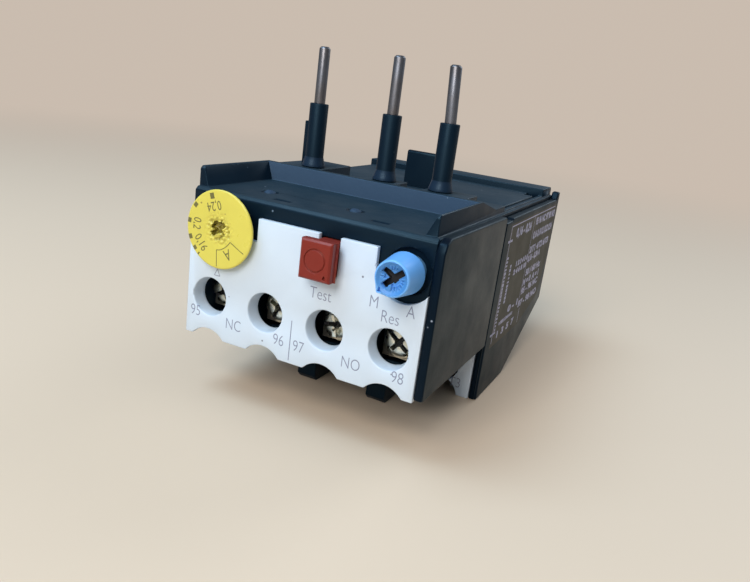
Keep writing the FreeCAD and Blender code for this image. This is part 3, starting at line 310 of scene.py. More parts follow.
# A darker copy of the black plastic for faces that look forward: painted shade, with real specks.
moulded("front_painted_shade", (0.0012, 0.0042, 0.0105), 0.36, grain=2600, depth=0.000006, worn=(0.020, 0.030, 0.050),
        wear=0.15, dust=0.005, specks=0.26, speck=(0.30, 0.34, 0.42), specular=0.16, sheen=(0.42, 0.76, 1.0))
# A lighter blue copy of the black plastic for faces that look up: painted sheen from above.
moulded("deck_painted_sheen", (0.0090, 0.0235, 0.0375), 0.48, grain=2600, depth=0.000012, worn=(0.05, 0.075, 0.10),
        wear=0.35, dust=0.03, specks=0.10, speck=(0.18, 0.20, 0.24), specular=0.30, sheen=(0.60, 0.84, 1.0))
moulded("label_ground", (0.040, 0.037, 0.024), 0.52, grain=2400, depth=0.000008, worn=(0.06, 0.055, 0.04),
        wear=0.2, dust=0.02, specks=0.05, specular=0.3, streaks=0.3)
moulded("white_plastic", (0.61, 0.70, 0.80), 0.36, grain=2800, depth=0.000006, worn=(0.52, 0.57, 0.68),
        wear=0.30, dust=0.03, specks=0.40, speck=(0.16, 0.17, 0.22), uneven=0.08)
# The dial's driver recess gets darker and browner with depth: brown staining with painted shade.
moulded("yellow_plastic", (0.70, 0.61, 0.095), 0.30, grain=2600, depth=0.000004, worn=(0.86, 0.82, 0.36),
        wear=0.30, dust=0.03, specks=0.10, speck=(0.30, 0.24, 0.05), uneven=0.20,
        recess=(dial_at, 2.4 * MM, 0.36 * MM, (0.135, 0.098, 0.006)))
moulded("cam_plastic", (0.55, 0.52, 0.44), 0.45, worn=(0.62, 0.60, 0.52), wear=0.3)
moulded("red_plastic", (0.21, 0.022, 0.014), 0.38, grain=2600, depth=0.000008, worn=(0.42, 0.12, 0.08),
        wear=0.40, dust=0.04, specks=0.02, uneven=0.20, specular=0.34, sheen=(1.0, 0.80, 0.76))
# The knob's recess gets darker with depth: painted shade.
moulded("blue_plastic", (0.145, 0.42, 0.90), 0.40, grain=2600, depth=0.000006, worn=(0.30, 0.56, 0.86),
        wear=0.50, dust=0.03, specks=0.03, speck=(0.05, 0.10, 0.18), uneven=0.18,
        recess=(knob_at + Vector((0, 0.9 * MM, 0)), 2.3 * MM, 0.28 * MM, (0.006, 0.018, 0.036)))
# A darker copy of the knob's blue for the bowl inside its rim: painted shade, with more painted shade deeper in its
# recess.
moulded("bowl_painted_shade", (0.056, 0.235, 0.58), 0.46, grain=2600, depth=0.000010, worn=(0.16, 0.36, 0.66),
        wear=0.50, dust=0.03, specks=0.03, speck=(0.05, 0.10, 0.18), uneven=0.22,
        recess=(knob_at + Vector((0, 0.9 * MM, 0)), 2.3 * MM, 0.28 * MM, (0.004, 0.012, 0.026)))
moulded("plunger_plastic", (0.10, 0.26, 0.48), 0.42, wear=0.2, worn=(0.25, 0.42, 0.60))
moulded("plate_print", (0.26, 0.29, 0.40), 0.45, wear=0.0, dust=0.0, specks=0.0, uneven=0.45)
moulded("dial_print", (0.17, 0.155, 0.045), 0.45, wear=0.0, dust=0.0, specks=0.0, uneven=0.5)
moulded("side_print", (0.46, 0.46, 0.66), 0.50, wear=0.0, dust=0.0, specks=0.0, uneven=0.6)
# A near-black finish for the depths of recesses, slots and rings: painted shade.
moulded("painted_recess_shade", (0.010, 0.010, 0.012), 0.75, grain=1500, depth=0.00003, wear=0.0, dust=0.1)

# %% Mix the finishes of the relay: metals
metal("spring_steel", (0.55, 0.55, 0.56), 0.28, (0.30, 0.28, 0.26))
metal("zinc_steel", (0.74, 0.73, 0.62), 0.24, (0.26, 0.23, 0.13), amount=0.70, depth=0.00001)
metal("clamp_steel", (0.60, 0.58, 0.50), 0.34, (0.30, 0.26, 0.18), amount=0.5)
metal("contact_brass", (0.66, 0.50, 0.24), 0.30, (0.34, 0.24, 0.12))
metal("copper", (0.70, 0.38, 0.24), 0.34, (0.30, 0.16, 0.12))
metal("tinned_copper", (0.185, 0.19, 0.215), 0.36, (0.15, 0.125, 0.11), amount=0.6, grain=1500, stretch=0.06,
      depth=0.00002)
metal("bimetal_steel", (0.46, 0.44, 0.42), 0.36, (0.26, 0.22, 0.18), stretch=0.1)
metal("heater_wire", (0.30, 0.28, 0.26), 0.45, (0.14, 0.12, 0.12))
print("finishes:", len(finishes))

# %% [markdown]
# ## Rounding the moulded and turned pieces
# A real moulding has no razor edge, and the small rounding is what catches the light. Each solid
# comes as loose triangles, so a copy is merged, its flat triangles are joined in pairs, and a Bevel
# modifier rounds only the real corners. The copy then stands for the solid.

# %% Helper: a rounded copy of a solid
def keep(mesh, name, finish, body, stands_for=()):
    """Make a finished piece of a mesh that is already in its place."""
    mesh.name = name
    mesh.materials.clear()
    mesh.materials.append(finishes[finish])
    piece = bpy.data.objects.new(name, mesh)
    bpy.context.scene.collection.objects.link(piece)
    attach(piece, body)
    if stands_for:
        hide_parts(*stands_for)
    return piece


def merged(node):
    """Mesh of a solid with its doubles merged and its flat triangles joined in pairs."""
    shape = bmesh.new()
    shape.from_mesh(nodes[node].data)
    bmesh.ops.remove_doubles(shape, verts=shape.verts, dist=0.000002)
    bmesh.ops.join_triangles(shape, faces=shape.faces, angle_face_threshold=math.radians(0.5),
                             angle_shape_threshold=math.pi)
    mesh = bpy.data.meshes.new(node)
    shape.to_mesh(mesh)
    shape.free()
    return mesh


def evaluated(mesh, *modifiers):
    """Apply modifiers, given as (kind, settings), to a mesh."""
    carrier = bpy.data.objects.new("carrier", mesh)
    bpy.context.scene.collection.objects.link(carrier)
    for kind, settings in modifiers:
        modifier = carrier.modifiers.new(kind, kind)
        for name, value in settings.items():
            setattr(modifier, name, value)
    graph = bpy.context.evaluated_depsgraph_get()
    made = bpy.data.meshes.new_from_object(carrier.evaluated_get(graph))
    bpy.data.objects.remove(carrier)
    return made


def rounded_copy(node, width, segments=2, angle=35.0, finish=None):
    bevel = {"width": width, "segments": segments, "limit_method": "ANGLE",
             "angle_limit": math.radians(angle), "use_clamp_overlap": False, "harden_normals": False}
    mesh = evaluated(merged(node), ("BEVEL", bevel))
    for polygon in mesh.polygons:
        polygon.use_smooth = True
    mesh.set_sharp_from_angle(angle=math.radians(32.0))
    piece = keep(mesh, node + "_rounded", finish or slot_of[node], body_of[node], (node,))
    print(node, "faces", len(mesh.polygons))
    return piece


def retouch(piece, finish, picks):
    """Give the faces that picks(centre, normal) chooses a finish of their own."""
    piece.data.materials.append(finishes[finish])
    chosen = [polygon for polygon in piece.data.polygons if picks(polygon.center / MM, polygon.normal)]
    for polygon in chosen:
        polygon.material_index = len(piece.data.materials) - 1
    print(piece.name, "faces in", finish, len(chosen))


# %% Round the case, the covers and the plates
case = rounded_copy("housing", 0.18 * MM)
tray_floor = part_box("top_cover")[1].z / MM - 0.6
# Painted sheen: the sloping front of the ridge gets the lighter blue copy of the black plastic.
retouch(case, "painted_sheen_plastic", lambda at, faces: at.z > tray_floor + 0.1 and -18 < at.y < -12 and faces.y < -0.5)
# Painted sheen: faces that look up get the lighter blue copy of the black plastic.
retouch(case, "deck_painted_sheen", lambda at, faces: at.z > tray_floor - 0.5 and faces.z > 0.7)
plate_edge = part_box("front_plate")[1].x / MM
# Painted shade: faces right of the front plate that look forward get the darker copy.
retouch(case, "front_painted_shade", lambda at, faces: at.x > plate_edge - 0.2 and faces.y < -0.35)
cover = rounded_copy("side_cover", 0.30 * MM, 3)
# Painted shade: the front of the side cover gets the darker copy too.
retouch(cover, "front_painted_shade", lambda at, faces: faces.y < -0.35)
# The top cover is all in the painted sheen of faces that look up.
rounded_copy("top_cover", 0.20 * MM, finish="deck_painted_sheen")
rounded_copy("contactor_hook", 0.25 * MM)
rounded_copy("front_plate", 0.14 * MM)
rounded_copy("terminal_plate", 0.14 * MM)

# %% Round the line pins and their sleeves
for pole in (1, 2, 3):
    pin = rounded_copy("line_pin_%d" % pole, 0.05 * MM, 1)
    sleeve = rounded_copy("pin_sleeve_%d" % pole, 0.12 * MM, 2)
    # Painted sheen: the sloping collar at the foot of each sleeve gets the lighter navy finish.
    retouch(sleeve, "collar_painted_sheen", lambda at, faces: at.z < tray_floor + 5.6 and 0.15 < faces.z < 0.95)

# %% Lean the third pin a little, as a pin does that has been in and out of a terminal
sleeve_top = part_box("pin_sleeve_3")[1].z
for vertex in pin.data.vertices:
    free = vertex.co.z - sleeve_top
    if free > 0:
        vertex.co.x -= 0.050 * free
        vertex.co.z -= 0.045 * free

# %% Round the clamp plates
for name in ("clamp_95", "clamp_96", "clamp_97", "clamp_98", "main_clamp_1", "main_clamp_2", "main_clamp_3"):
    rounded_copy(name, 0.10 * MM)

# %% [markdown]
# ## Geometry Nodes for wound and threaded shapes
# Springs and screw threads are both a profile that follows a helix. One tree makes them all: a
# spiral, a small profile, and a sweep. Its inputs are the sizes that a spring maker would ask for.

# %% Tree: helix
def start_tree(name, inputs):
    tree, inside, outside = start_group(name, "GeometryNodeTree", inputs, [("Geometry", "NodeSocketGeometry")])
    labels = {item.name: item.identifier for item in tree.interface.items_tree if item.in_out == "INPUT"}
    return tree, inside.outputs, outside.inputs[0], labels


def grow(tree, labels, values):
    """Run a Geometry Nodes tree on an empty mesh and give back the plain mesh."""
    carrier = bpy.data.objects.new("carrier", bpy.data.meshes.new("carrier"))
    bpy.context.scene.collection.objects.link(carrier)
    modifier = carrier.modifiers.new("tree", "NODES")
    modifier.node_group = tree
    for label, value in values.items():
        modifier[labels[label]] = value
    graph = bpy.context.evaluated_depsgraph_get()
    made = bpy.data.meshes.new_from_object(carrier.evaluated_get(graph))
    bpy.data.objects.remove(carrier)
    return made


helix, given, result, helix_inputs = start_tree("Helix", [
    ("Radius", FLOAT, 0.002), ("Wire", FLOAT, 0.0002), ("Turns", FLOAT, 5.0), ("Length", FLOAT, 0.006),
    ("Sides", "NodeSocketInt", 8), ("Finish", "NodeSocketMaterial", None)])
spiral = add(helix, "GeometryNodeCurveSpiral", Resolution=28, Rotations=given["Turns"], Height=given["Length"],
             Start_Radius=given["Radius"], End_Radius=given["Radius"])
profile = add(helix, "GeometryNodeCurvePrimitiveCircle", {"mode": "RADIUS"}, Resolution=given["Sides"],
              Radius=given["Wire"])
sweep = add(helix, "GeometryNodeCurveToMesh", Curve=spiral.outputs[0], Profile_Curve=profile.outputs[0],
            Fill_Caps=True)
whole = add(helix, "GeometryNodeRealizeInstances", Geometry=sweep.outputs[0])
painted = add(helix, "GeometryNodeSetMaterial", Geometry=whole.outputs[0], Material=given["Finish"])
helix.links.new(painted.outputs[0], result)
print("tree:", helix.name, "inputs", list(helix_inputs))

# %% [markdown]
# The two return springs lie between the button's flange and a seat in the case. On the relay the
# front end moves with the button and the seat end stays. Here each spring rides on the case as a
# fixed coil.

# %% Wind the return springs
AXIS_Y = Matrix.Rotation(math.radians(-90.0), 4, "X")


def wind_spring(node, turns, wire):
    low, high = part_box(node)
    middle = (low + high) / 2
    radius = (high.x - low.x) / 2 - wire
    length = high.y - low.y - 2 * wire
    coil = grow(helix, helix_inputs, {"Radius": radius, "Wire": wire, "Turns": turns, "Length": length,
                                      "Sides": 10, "Finish": finishes["spring_steel"]})
    coil.transform(Matrix.Translation((middle.x, low.y + wire, middle.z)) @ AXIS_Y)
    for polygon in coil.polygons:
        polygon.use_smooth = True
    piece = keep(coil, node + "_wound", "spring_steel", "case", (node,))
    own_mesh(piece)
    print(node, "turns", turns, "length mm", round(length / MM, 2))


wind_spring("test_spring", 6.0, 0.20 * MM)
wind_spring("reset_spring", 6.0, 0.22 * MM)

# %% [markdown]
# ## Screws with a combination recess
# The terminal screws take a flat or a crossed driver. The head is turned: a low dome with a rolled
# rim. The slot and the cross are cut in it, and their walls and floor are painted near-black as
# shade. The thread is a helix on a thinner core, so its crests stay on the radius of the solid's shank.

# %% Helper: a turned profile
def turned(profile, steps=48):
    """Turn (radius, height) points round +Z into a closed mesh."""
    shape = bmesh.new()
    line = [shape.verts.new((r, 0.0, h)) for r, h in profile]
    for a, b in zip(line, line[1:]):
        shape.edges.new((a, b))
    bmesh.ops.spin(shape, geom=shape.verts[:] + shape.edges[:], axis=(0, 0, 1), cent=(0, 0, 0),
                   angle=2 * math.pi, steps=steps)
    bmesh.ops.remove_doubles(shape, verts=shape.verts, dist=0.000001)
    bmesh.ops.recalc_face_normals(shape, faces=shape.faces)
    mesh = bpy.data.meshes.new("turned")
    shape.to_mesh(mesh)
    shape.free()
    return mesh


def block(x, y, z, turn=0.0):
    """Block between pairs of limits, turned about Z."""
    shape = bmesh.new()
    bmesh.ops.create_cube(shape, size=1.0)
    size = Matrix.Diagonal((x[1] - x[0], y[1] - y[0], z[1] - z[0], 1.0))
    shift = Matrix.Translation(((x[0] + x[1]) / 2, (y[0] + y[1]) / 2, (z[0] + z[1]) / 2))
    bmesh.ops.transform(shape, matrix=Matrix.Rotation(turn, 4, "Z") @ shift @ size, verts=shape.verts)
    mesh = bpy.data.meshes.new("block")
    shape.to_mesh(mesh)
    shape.free()
    return mesh


def cut(mesh, cutters):
    """Subtract each cutter from a mesh."""
    for cutter in cutters:
        tool = bpy.data.objects.new("tool", cutter)
        bpy.context.scene.collection.objects.link(tool)
        mesh = evaluated(mesh, ("BOOLEAN", {"object": tool, "operation": "DIFFERENCE", "solver": "EXACT"}))
        bpy.data.objects.remove(tool)
    return mesh


def joined(*meshes):
    shape = bmesh.new()
    for mesh in meshes:
        shape.from_mesh(mesh)
    whole = bpy.data.meshes.new("joined")
    shape.to_mesh(whole)
    shape.free()
    return whole


def fused(voxel, *meshes):
    """Melt closed meshes that overlap into one skin with soft edges. The voxel is in millimetres."""
    whole = joined(*meshes)
    whole.transform(Matrix.Scale(1 / MM, 4))
    whole = evaluated(whole, ("REMESH", {"mode": "VOXEL", "voxel_size": voxel}),
                      ("SMOOTH", {"factor": 0.5, "iterations": 4}))
    whole.transform(Matrix.Scale(MM, 4))
    for polygon in whole.polygons:
        polygon.use_smooth = True
    return whole


# %% Turn, slot and thread the screws
def make_screw(node, head_height, shank_radius, pitch, tilt):
    low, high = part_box(node)
    middle = (low + high) / 2
    radius, length = (high.x - low.x) / 2, high.y - low.y
    core = shank_radius - 0.24 * MM
    head = turned([(0, 0), (core, 0), (core, length - head_height), (radius - 0.1 * MM, length - head_height),
                   (radius, length - head_height + 0.15 * MM), (radius, length - 0.75 * MM),
                   (radius * 0.96, length - 0.45 * MM), (radius * 0.86, length - 0.22 * MM),
                   (radius * 0.6, length - 0.06 * MM), (0, length)])
    reach, half, top = radius * 0.66, radius * 0.13, length + MM
    slot = block((-radius - MM, radius + MM), (-half, half), (length - head_height * 0.42, top), tilt)
    crossed = [block((-reach, reach), (-half, half), (length - head_height * 0.7, top), tilt + turn)
               for turn in (0.0, math.pi / 2)]
    heart = block((-half * 1.9, half * 1.9), (-half * 1.9, half * 1.9), (length - head_height * 0.7, top),
                  tilt + math.pi / 4)
    head = cut(head, [slot] + crossed + [heart])
    bevel = {"width": 0.06 * MM, "segments": 2, "limit_method": "ANGLE", "angle_limit": math.radians(40),
             "use_clamp_overlap": False}
    head = evaluated(head, ("BEVEL", bevel))
    turns = (length - head_height - 0.8 * MM) / pitch
    thread = grow(helix, helix_inputs, {"Radius": shank_radius - 0.2 * MM, "Wire": 0.2 * MM, "Turns": turns,
                                        "Length": turns * pitch, "Sides": 4, "Finish": finishes["zinc_steel"]})
    thread.transform(Matrix.Translation((0, 0, 0.4 * MM)))
    whole = joined(head, thread)
    toward_front = Matrix.Rotation(math.radians(90.0), 4, "X")
    whole.transform(Matrix.Translation((middle.x, high.y, middle.z)) @ toward_front)
    for polygon in whole.polygons:
        polygon.use_smooth = True
    whole.set_sharp_from_angle(angle=math.radians(30))
    piece = keep(whole, node + "_turned", "zinc_steel", body_of[node], (node,))
    # The walls and floor of the slot and the cross get the near-black finish: painted shade in the recess.
    whole.materials.append(finishes["painted_recess_shade"])
    floor_y, wall_y = low.y + head_height * 0.75, low.y + head_height * 0.30
    for polygon in whole.polygons:
        at = polygon.center - middle
        if wall_y < polygon.center.y < floor_y and math.hypot(at.x, at.z) < radius * 0.9:
            polygon.material_index = 1
    return piece


for count, number in enumerate((95, 96, 97, 98)):
    make_screw("screw_%d" % number, 2.0 * MM, 1.70 * MM, 0.6 * MM, math.radians((28, 64, 12, -38)[count]))
for pole in (1, 2, 3):
    make_screw("main_screw_%d" % pole, 2.4 * MM, 1.95 * MM, 0.7 * MM, math.radians(35 * pole))
print("screws:", 7)

# %% [markdown]
# ## The setting dial
# The dial is a satin disc with a bevelled rim. Small dark squares along the rim go with the
# numbers, and two lines and an arc mark the switch-off sector. The print is a thin layer on the
# face, so it stays sharp from close by. The driver recess in the middle is worn, and it darkens
# with depth from brown staining and painted shade.

# %% Helper: print on a face
FRONT = Matrix.Rotation(math.radians(90.0), 4, "X")
SIDE = Matrix(((0, 0, 1, 0), (1, 0, 0, 0), (0, 1, 0, 0), (0, 0, 0, 1)))
INK = 0.012 * MM


def lettering(text, size, narrow=0.86, thin=0.0):
    """Flat letters, centred on the origin in the XY plane."""
    curve = bpy.data.curves.new("letters", "FONT")
    curve.body = text
    curve.align_x, curve.align_y = "CENTER", "CENTER"
    curve.size, curve.extrude, curve.offset = size / 0.7, INK, thin
    curve.resolution_u = 4
    carrier = bpy.data.objects.new("letters", curve)
    bpy.context.scene.collection.objects.link(carrier)
    graph = bpy.context.evaluated_depsgraph_get()
    mesh = bpy.data.meshes.new_from_object(carrier.evaluated_get(graph))
    bpy.data.objects.remove(carrier)
    mesh.transform(Matrix.Diagonal((narrow, 1, 1, 1)))
    return mesh


def stroke(points, width):
    """Flat line of even width through points in the XY plane."""
    shape = bmesh.new()
    for (x0, y0), (x1, y1) in zip(points, points[1:]):
        along = Vector((x1 - x0, y1 - y0, 0))
        side = Vector((-along.y, along.x, 0)).normalized() * width / 2
        corners = [Vector((x0, y0, 0)) - side, Vector((x1, y1, 0)) - side, Vector((x1, y1, 0)) + side,
                   Vector((x0, y0, 0)) + side]
        lower = [shape.verts.new(c - Vector((0, 0, INK))) for c in corners]
        upper = [shape.verts.new(c + Vector((0, 0, INK))) for c in corners]
        shape.faces.new(upper)
        shape.faces.new(lower[::-1])
        for i in range(4):
            shape.faces.new((lower[i], lower[(i + 1) % 4], upper[(i + 1) % 4], upper[i]))
    mesh = bpy.data.meshes.new("stroke")
    shape.to_mesh(mesh)
    shape.free()
    return mesh


def set_down(mesh, x, y, turn=0.0):
    """Place a flat mark at x, y in its plane, turned about its middle."""
    mesh.transform(Matrix.Translation((x, y, 0)) @ Matrix.Rotation(turn, 4, "Z"))
    return mesh


def printed(name, marks, at, facing, finish, body):
    whole = joined(*marks)
    whole.transform(Matrix.Translation(at) @ facing)
    return keep(whole, name, finish, body)


print("print helpers ready")

# %% Tree: marks that follow an arc
arc_marks, given, result, arc_inputs = start_tree("Marks on an arc", [
    ("Radius", FLOAT, 0.005), ("First angle", FLOAT, 0.0), ("Step", FLOAT, 0.3), ("Count", "NodeSocketInt", 5),
    ("Long", FLOAT, 0.0008), ("Wide", FLOAT, 0.0006), ("Thick", FLOAT, 0.00003),
    ("Finish", "NodeSocketMaterial", None)])
size = add(arc_marks, "ShaderNodeCombineXYZ", X=given["Long"], Y=given["Wide"], Z=given["Thick"])
mark = add(arc_marks, "GeometryNodeMeshCube", Size=size.outputs[0])
row = add(arc_marks, "GeometryNodePoints", Count=given["Count"])
number = add(arc_marks, "GeometryNodeInputIndex").outputs[0]
angle = maths(arc_marks, "ADD", given["First angle"], maths(arc_marks, "MULTIPLY", number, given["Step"]))
spot = add(arc_marks, "ShaderNodeCombineXYZ",
           X=maths(arc_marks, "MULTIPLY", maths(arc_marks, "COSINE", angle), given["Radius"]),
           Y=maths(arc_marks, "MULTIPLY", maths(arc_marks, "SINE", angle), given["Radius"]))
placed = add(arc_marks, "GeometryNodeSetPosition", Geometry=row.outputs[0], Position=spot.outputs[0])
turned_by = add(arc_marks, "ShaderNodeCombineXYZ", Z=angle)
copies = add(arc_marks, "GeometryNodeInstanceOnPoints", Points=placed.outputs[0], Instance=mark.outputs[0],
             Rotation=turned_by.outputs[0])
whole = add(arc_marks, "GeometryNodeRealizeInstances", Geometry=copies.outputs[0])
painted = add(arc_marks, "GeometryNodeSetMaterial", Geometry=whole.outputs[0], Material=given["Finish"])
arc_marks.links.new(painted.outputs[0], result)
print("tree:", arc_marks.name)

# %% Turn the dial and wear out its recess
def arms(tilts, reaches, half, deep, top):
    """Blocks that fan out from the axis, one for each arm of a driver recess."""
    return [block((-half, reach), (-half, half), (deep, top), math.radians(tilt))
            for tilt, reach in zip(tilts, reaches)]


def chewed(mesh, centre, reach, depth):
    """Press and tear a face near its recess, as a slipping driver does."""
    for vertex in mesh.vertices:
        away = (vertex.co - centre).length
        if away < reach:
            strength = (1 - away / reach) * depth
            vertex.co.z += strength * (noise.noise(vertex.co / (0.45 * MM)) - 0.35)
            vertex.co.x += strength * 0.6 * noise.noise(vertex.co / (0.3 * MM) + Vector((7, 3, 1)))
    return mesh


dial_radius = (dial_high.x - dial_low.x) / 2
face_z = 1.2 * MM
disc = turned([(0, 0), (dial_radius - 0.62 * MM, 0), (dial_radius - 0.12 * MM, face_z - 0.50 * MM),
               (dial_radius, face_z - 0.30 * MM), (dial_radius - 0.05 * MM, face_z - 0.12 * MM),
               (dial_radius - 0.16 * MM, face_z - 0.03 * MM), (dial_radius - 0.30 * MM, face_z), (0, face_z)], 96)
worn_arms = arms((48, 84, 128, 160, 214), (1.45 * MM, 1.30 * MM, 1.55 * MM, 1.60 * MM, 1.75 * MM), 0.44 * MM,
                 0.42 * MM, 2 * MM)
disc = chewed(fused(0.075, cut(disc, worn_arms)), Vector((0, 0, face_z)), 3.0 * MM, 0.75 * MM)
spindle = turned([(0, 0), (2.0 * MM, 0), (2.0 * MM, dial_high.y - dial_low.y - face_z + 0.05 * MM),
                  (0, dial_high.y - dial_low.y - face_z + 0.05 * MM)])
disc.transform(Matrix.Translation((0, 0, -face_z)))
spindle.transform(Matrix.Translation((0, 0, dial_low.y - dial_high.y)))
dial = joined(disc, spindle)
dial.transform(Matrix.Translation(dial_at) @ FRONT)
dial.set_sharp_from_angle(angle=math.radians(50))
keep(dial, "dial_turned", "yellow_plastic", "dial", ("setting_dial",))
print("dial faces:", len(dial.polygons))

# %% Print the dial
marks = []
for degrees, reach, long, wide in ((108, 5.50, 0.95, 0.80), (146, 5.80, 0.70, 0.80), (175, 5.92, 0.66, 0.78),
                                   (201, 5.95, 0.66, 0.80), (220, 5.92, 0.60, 0.70), (231, 5.95, 0.50, 0.26)):
    marks.append(grow(arc_marks, arc_inputs, {
        "Radius": reach * MM, "First angle": math.radians(degrees), "Step": 0.1, "Count": 1,
        "Long": long * MM, "Wide": wide * MM, "Thick": 2 * INK, "Finish": finishes["dial_print"]}))
sector = [(-0.02, -6.05), (-0.22, -3.31), (0.28, -3.24), (0.78, -3.05), (1.28, -2.72), (1.72, -2.33), (2.10, -1.92),
          (2.34, -1.54), (5.05, -2.93)]
marks.append(stroke([(x * MM, y * MM) for x, y in sector], 0.13 * MM))
for text, degrees, reach, turn, tall in (("0,24", 108, 3.90, 90, 1.5), ("0,2", 177, 4.42, 90, 1.5),
                                         ("0,16", 219, 4.36, 90, 1.5), ("A", 298, 4.15, -90, 1.8)):
    where = math.radians(degrees)
    label = lettering(text, tall * MM, 0.78)
    marks.append(set_down(label, reach * MM * math.cos(where), reach * MM * math.sin(where),
                          where + math.radians(turn)))
printed("dial_marks", marks, dial_at, FRONT, "dial_print", "dial")
print("dial marks:", len(marks))

# %% [markdown]
# ## The reset knob
# The knob is slightly conical, with a nose that points to M or A. Its face is a shallow bowl inside a
# raised rim, a crossed recess takes the driver, and short ribs fan out on the bowl. Cone, nose, rim
# and ribs are separate closed shapes that a voxel remesh melts together, which also softens every
# edge as a mould does. The recess and the arrow are cut before that.

# %% Build the knob from a cone, a nose and ribs
def slab(points, low, high):
    """Upright prism over a polygon in the XY plane."""
    shape = bmesh.new()
    base = shape.faces.new([shape.verts.new((x, y, low)) for x, y in points])
    raised = bmesh.ops.extrude_face_region(shape, geom=[base])["geom"]
    bmesh.ops.translate(shape, vec=(0, 0, high - low), verts=[v for v in raised if isinstance(v, bmesh.types.BMVert)])
    bmesh.ops.recalc_face_normals(shape, faces=shape.faces)
    mesh = bpy.data.meshes.new("slab")
    shape.to_mesh(mesh)
    shape.free()
    return mesh


knob_depth = knob_high.y - knob_low.y
rim, broad, sunk_by = 2.70 * MM, 3.20 * MM, 0.90 * MM
cone = turned([(0, 0), (broad, 0), (broad, 0.2 * MM), (rim, knob_depth - 0.25 * MM),
               (rim - 0.12 * MM, knob_depth - 0.07 * MM), (rim - 0.26 * MM, knob_depth),
               (rim - 0.40 * MM, knob_depth - 0.07 * MM), (1.20 * MM, knob_depth - sunk_by),
               (0, knob_depth - sunk_by)], 96)
point, flank = math.radians(228.6), math.acos(2.70 / 3.42)
nose_line = [(rim * math.cos(point - flank), rim * math.sin(point - flank)),
             (3.36 * MM * math.cos(point), 3.36 * MM * math.sin(point)),
             (rim * math.cos(point + flank), rim * math.sin(point + flank)), (0.0, 0.0)]
nose = slab(nose_line, 0.0, knob_depth - 0.32 * MM)
crossing = arms((38, 144, 226, 318), (2.10 * MM, 1.90 * MM, 1.90 * MM, 0.70 * MM), 0.46 * MM, knob_depth - 1.8 * MM,
                knob_depth + MM)
arrow = slab([(2.62 * MM * math.cos(point) + x * MM, 2.62 * MM * math.sin(point) + y * MM)
              for x, y in ((-0.42, -0.36), (0.46, -0.36), (0.02, 0.52))], knob_depth - 1.0 * MM, knob_depth + MM)
bore = turned([(0, -MM), (1.38 * MM, -MM), (1.38 * MM, knob_depth - 2.15 * MM), (0, knob_depth - 2.15 * MM)])
tapering = cut(cone, crossing + [arrow, bore])
nose = cut(nose, crossing + [arrow, bore])
print("knob depth mm", round(knob_depth / MM, 2))

# %% Add the ribs and melt the knob together
ribs = [grow(arc_marks, arc_inputs, {
    "Radius": reach * MM, "First angle": math.radians(first), "Step": math.radians(step), "Count": count,
    "Long": long * MM, "Wide": 0.16 * MM, "Thick": 0.7 * MM, "Finish": finishes["blue_plastic"]})
    for first, step, count, reach, long in ((172, 13, 3, 1.75, 0.9), (250, 17, 6, 1.65, 1.1), (352, 15, 2, 1.75, 0.9),
                                            (76, 15, 3, 1.75, 0.8))]
for mesh in ribs:
    mesh.transform(Matrix.Translation((0, 0, knob_depth - 0.68 * MM)))
knob = fused(0.065, tapering, nose, *ribs)
knob.transform(Matrix.Translation((knob_at.x, knob_high.y, knob_at.z)) @ FRONT)
knob_piece = keep(knob, "knob_moulded", "blue_plastic", "reset_knob", ("reset_knob",))
# Painted shade: the bowl inside the rim gets the darker blue copy.
retouch(knob_piece, "bowl_painted_shade", lambda at, faces: faces.y < -0.2
        and math.hypot(at.x - knob_at.x / MM, at.z - knob_at.z / MM) < 2.42)
# Painted shade: the deep arms of the cross get the near-black finish.
retouch(knob_piece, "painted_recess_shade", lambda at, faces: faces.y < 0.5 and at.y > knob_low.y / MM + 1.05
        and math.hypot(at.x - knob_at.x / MM, at.z - knob_at.z / MM) < 2.42)
rounded_copy("reset_plunger", 0.08 * MM)
print("knob faces:", len(knob.polygons))

# %% Soften the test button the same way, with its cap a little left of its stem
button = fused(0.075, merged("test_button"))
cap_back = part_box("test_button")[0].y + 1.5 * MM
for vertex in button.vertices:
    if vertex.co.y < cap_back:
        vertex.co.x -= 0.30 * MM
keep(button, "button_moulded", "red_plastic", body_of["test_button"], ("test_button",))
print("button faces:", len(button.polygons))

# %% [markdown]
# ## Print on the plates and on the side
# Only plain marks that any such relay carries are printed: terminal numbers, the contact types,
# Test and Reset, and the pole marks. The side gets a contact diagram of simple lines.

# %% Print the front plate
plate_low, plate_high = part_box("front_plate")
face = Vector((0.0, plate_low.y, 0.0))
base = plate_low.z + 0.45 * MM
front_text = (("95", -20.1, 3.7), ("NC", -12.2, 3.0), ("96", -3.2, 2.9), ("97", 0.6, 2.8), ("NO", 10.1, 2.7),
              ("98", 18.1, 2.8), ("Test", 3.6, 12.4), ("Res", 15.6, 11.7), ("M", 12.7, 13.5), ("A", 18.75, 13.4))
marks = [set_down(lettering(text, 1.90 * MM, 0.80, -0.03 * MM), x * MM, base + z * MM)
         for text, x, z in front_text]
marks.append(stroke([(-1.0 * MM, base + 0.1 * MM), (-1.0 * MM, base + 6.9 * MM)], 0.16 * MM))
pointer = [(-0.55, -0.5), (0.55, -0.5), (0.0, 0.65), (-0.55, -0.5)]
marks.append(stroke([((-16.1 + x) * MM, base + (11.3 + z) * MM) for x, z in pointer], 0.14 * MM))
printed("plate_print", marks, face, FRONT, "plate_print", "case")
print("front plate marks:", len(marks))

# %% Print the terminal plate
low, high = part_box("terminal_plate")
marks = []
for pole in (1, 2, 3):
    a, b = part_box("main_screw_%d" % pole)
    marks.append(set_down(lettering("T%d" % pole, 2.0 * MM, 0.82, -0.03 * MM), (a.x + b.x) / 2 + 3.4 * MM,
                          low.z + 2.5 * MM))
printed("pole_print", marks, Vector((0.0, low.y, 0.0)), FRONT, "plate_print", "case")
print("pole marks:", len(marks))

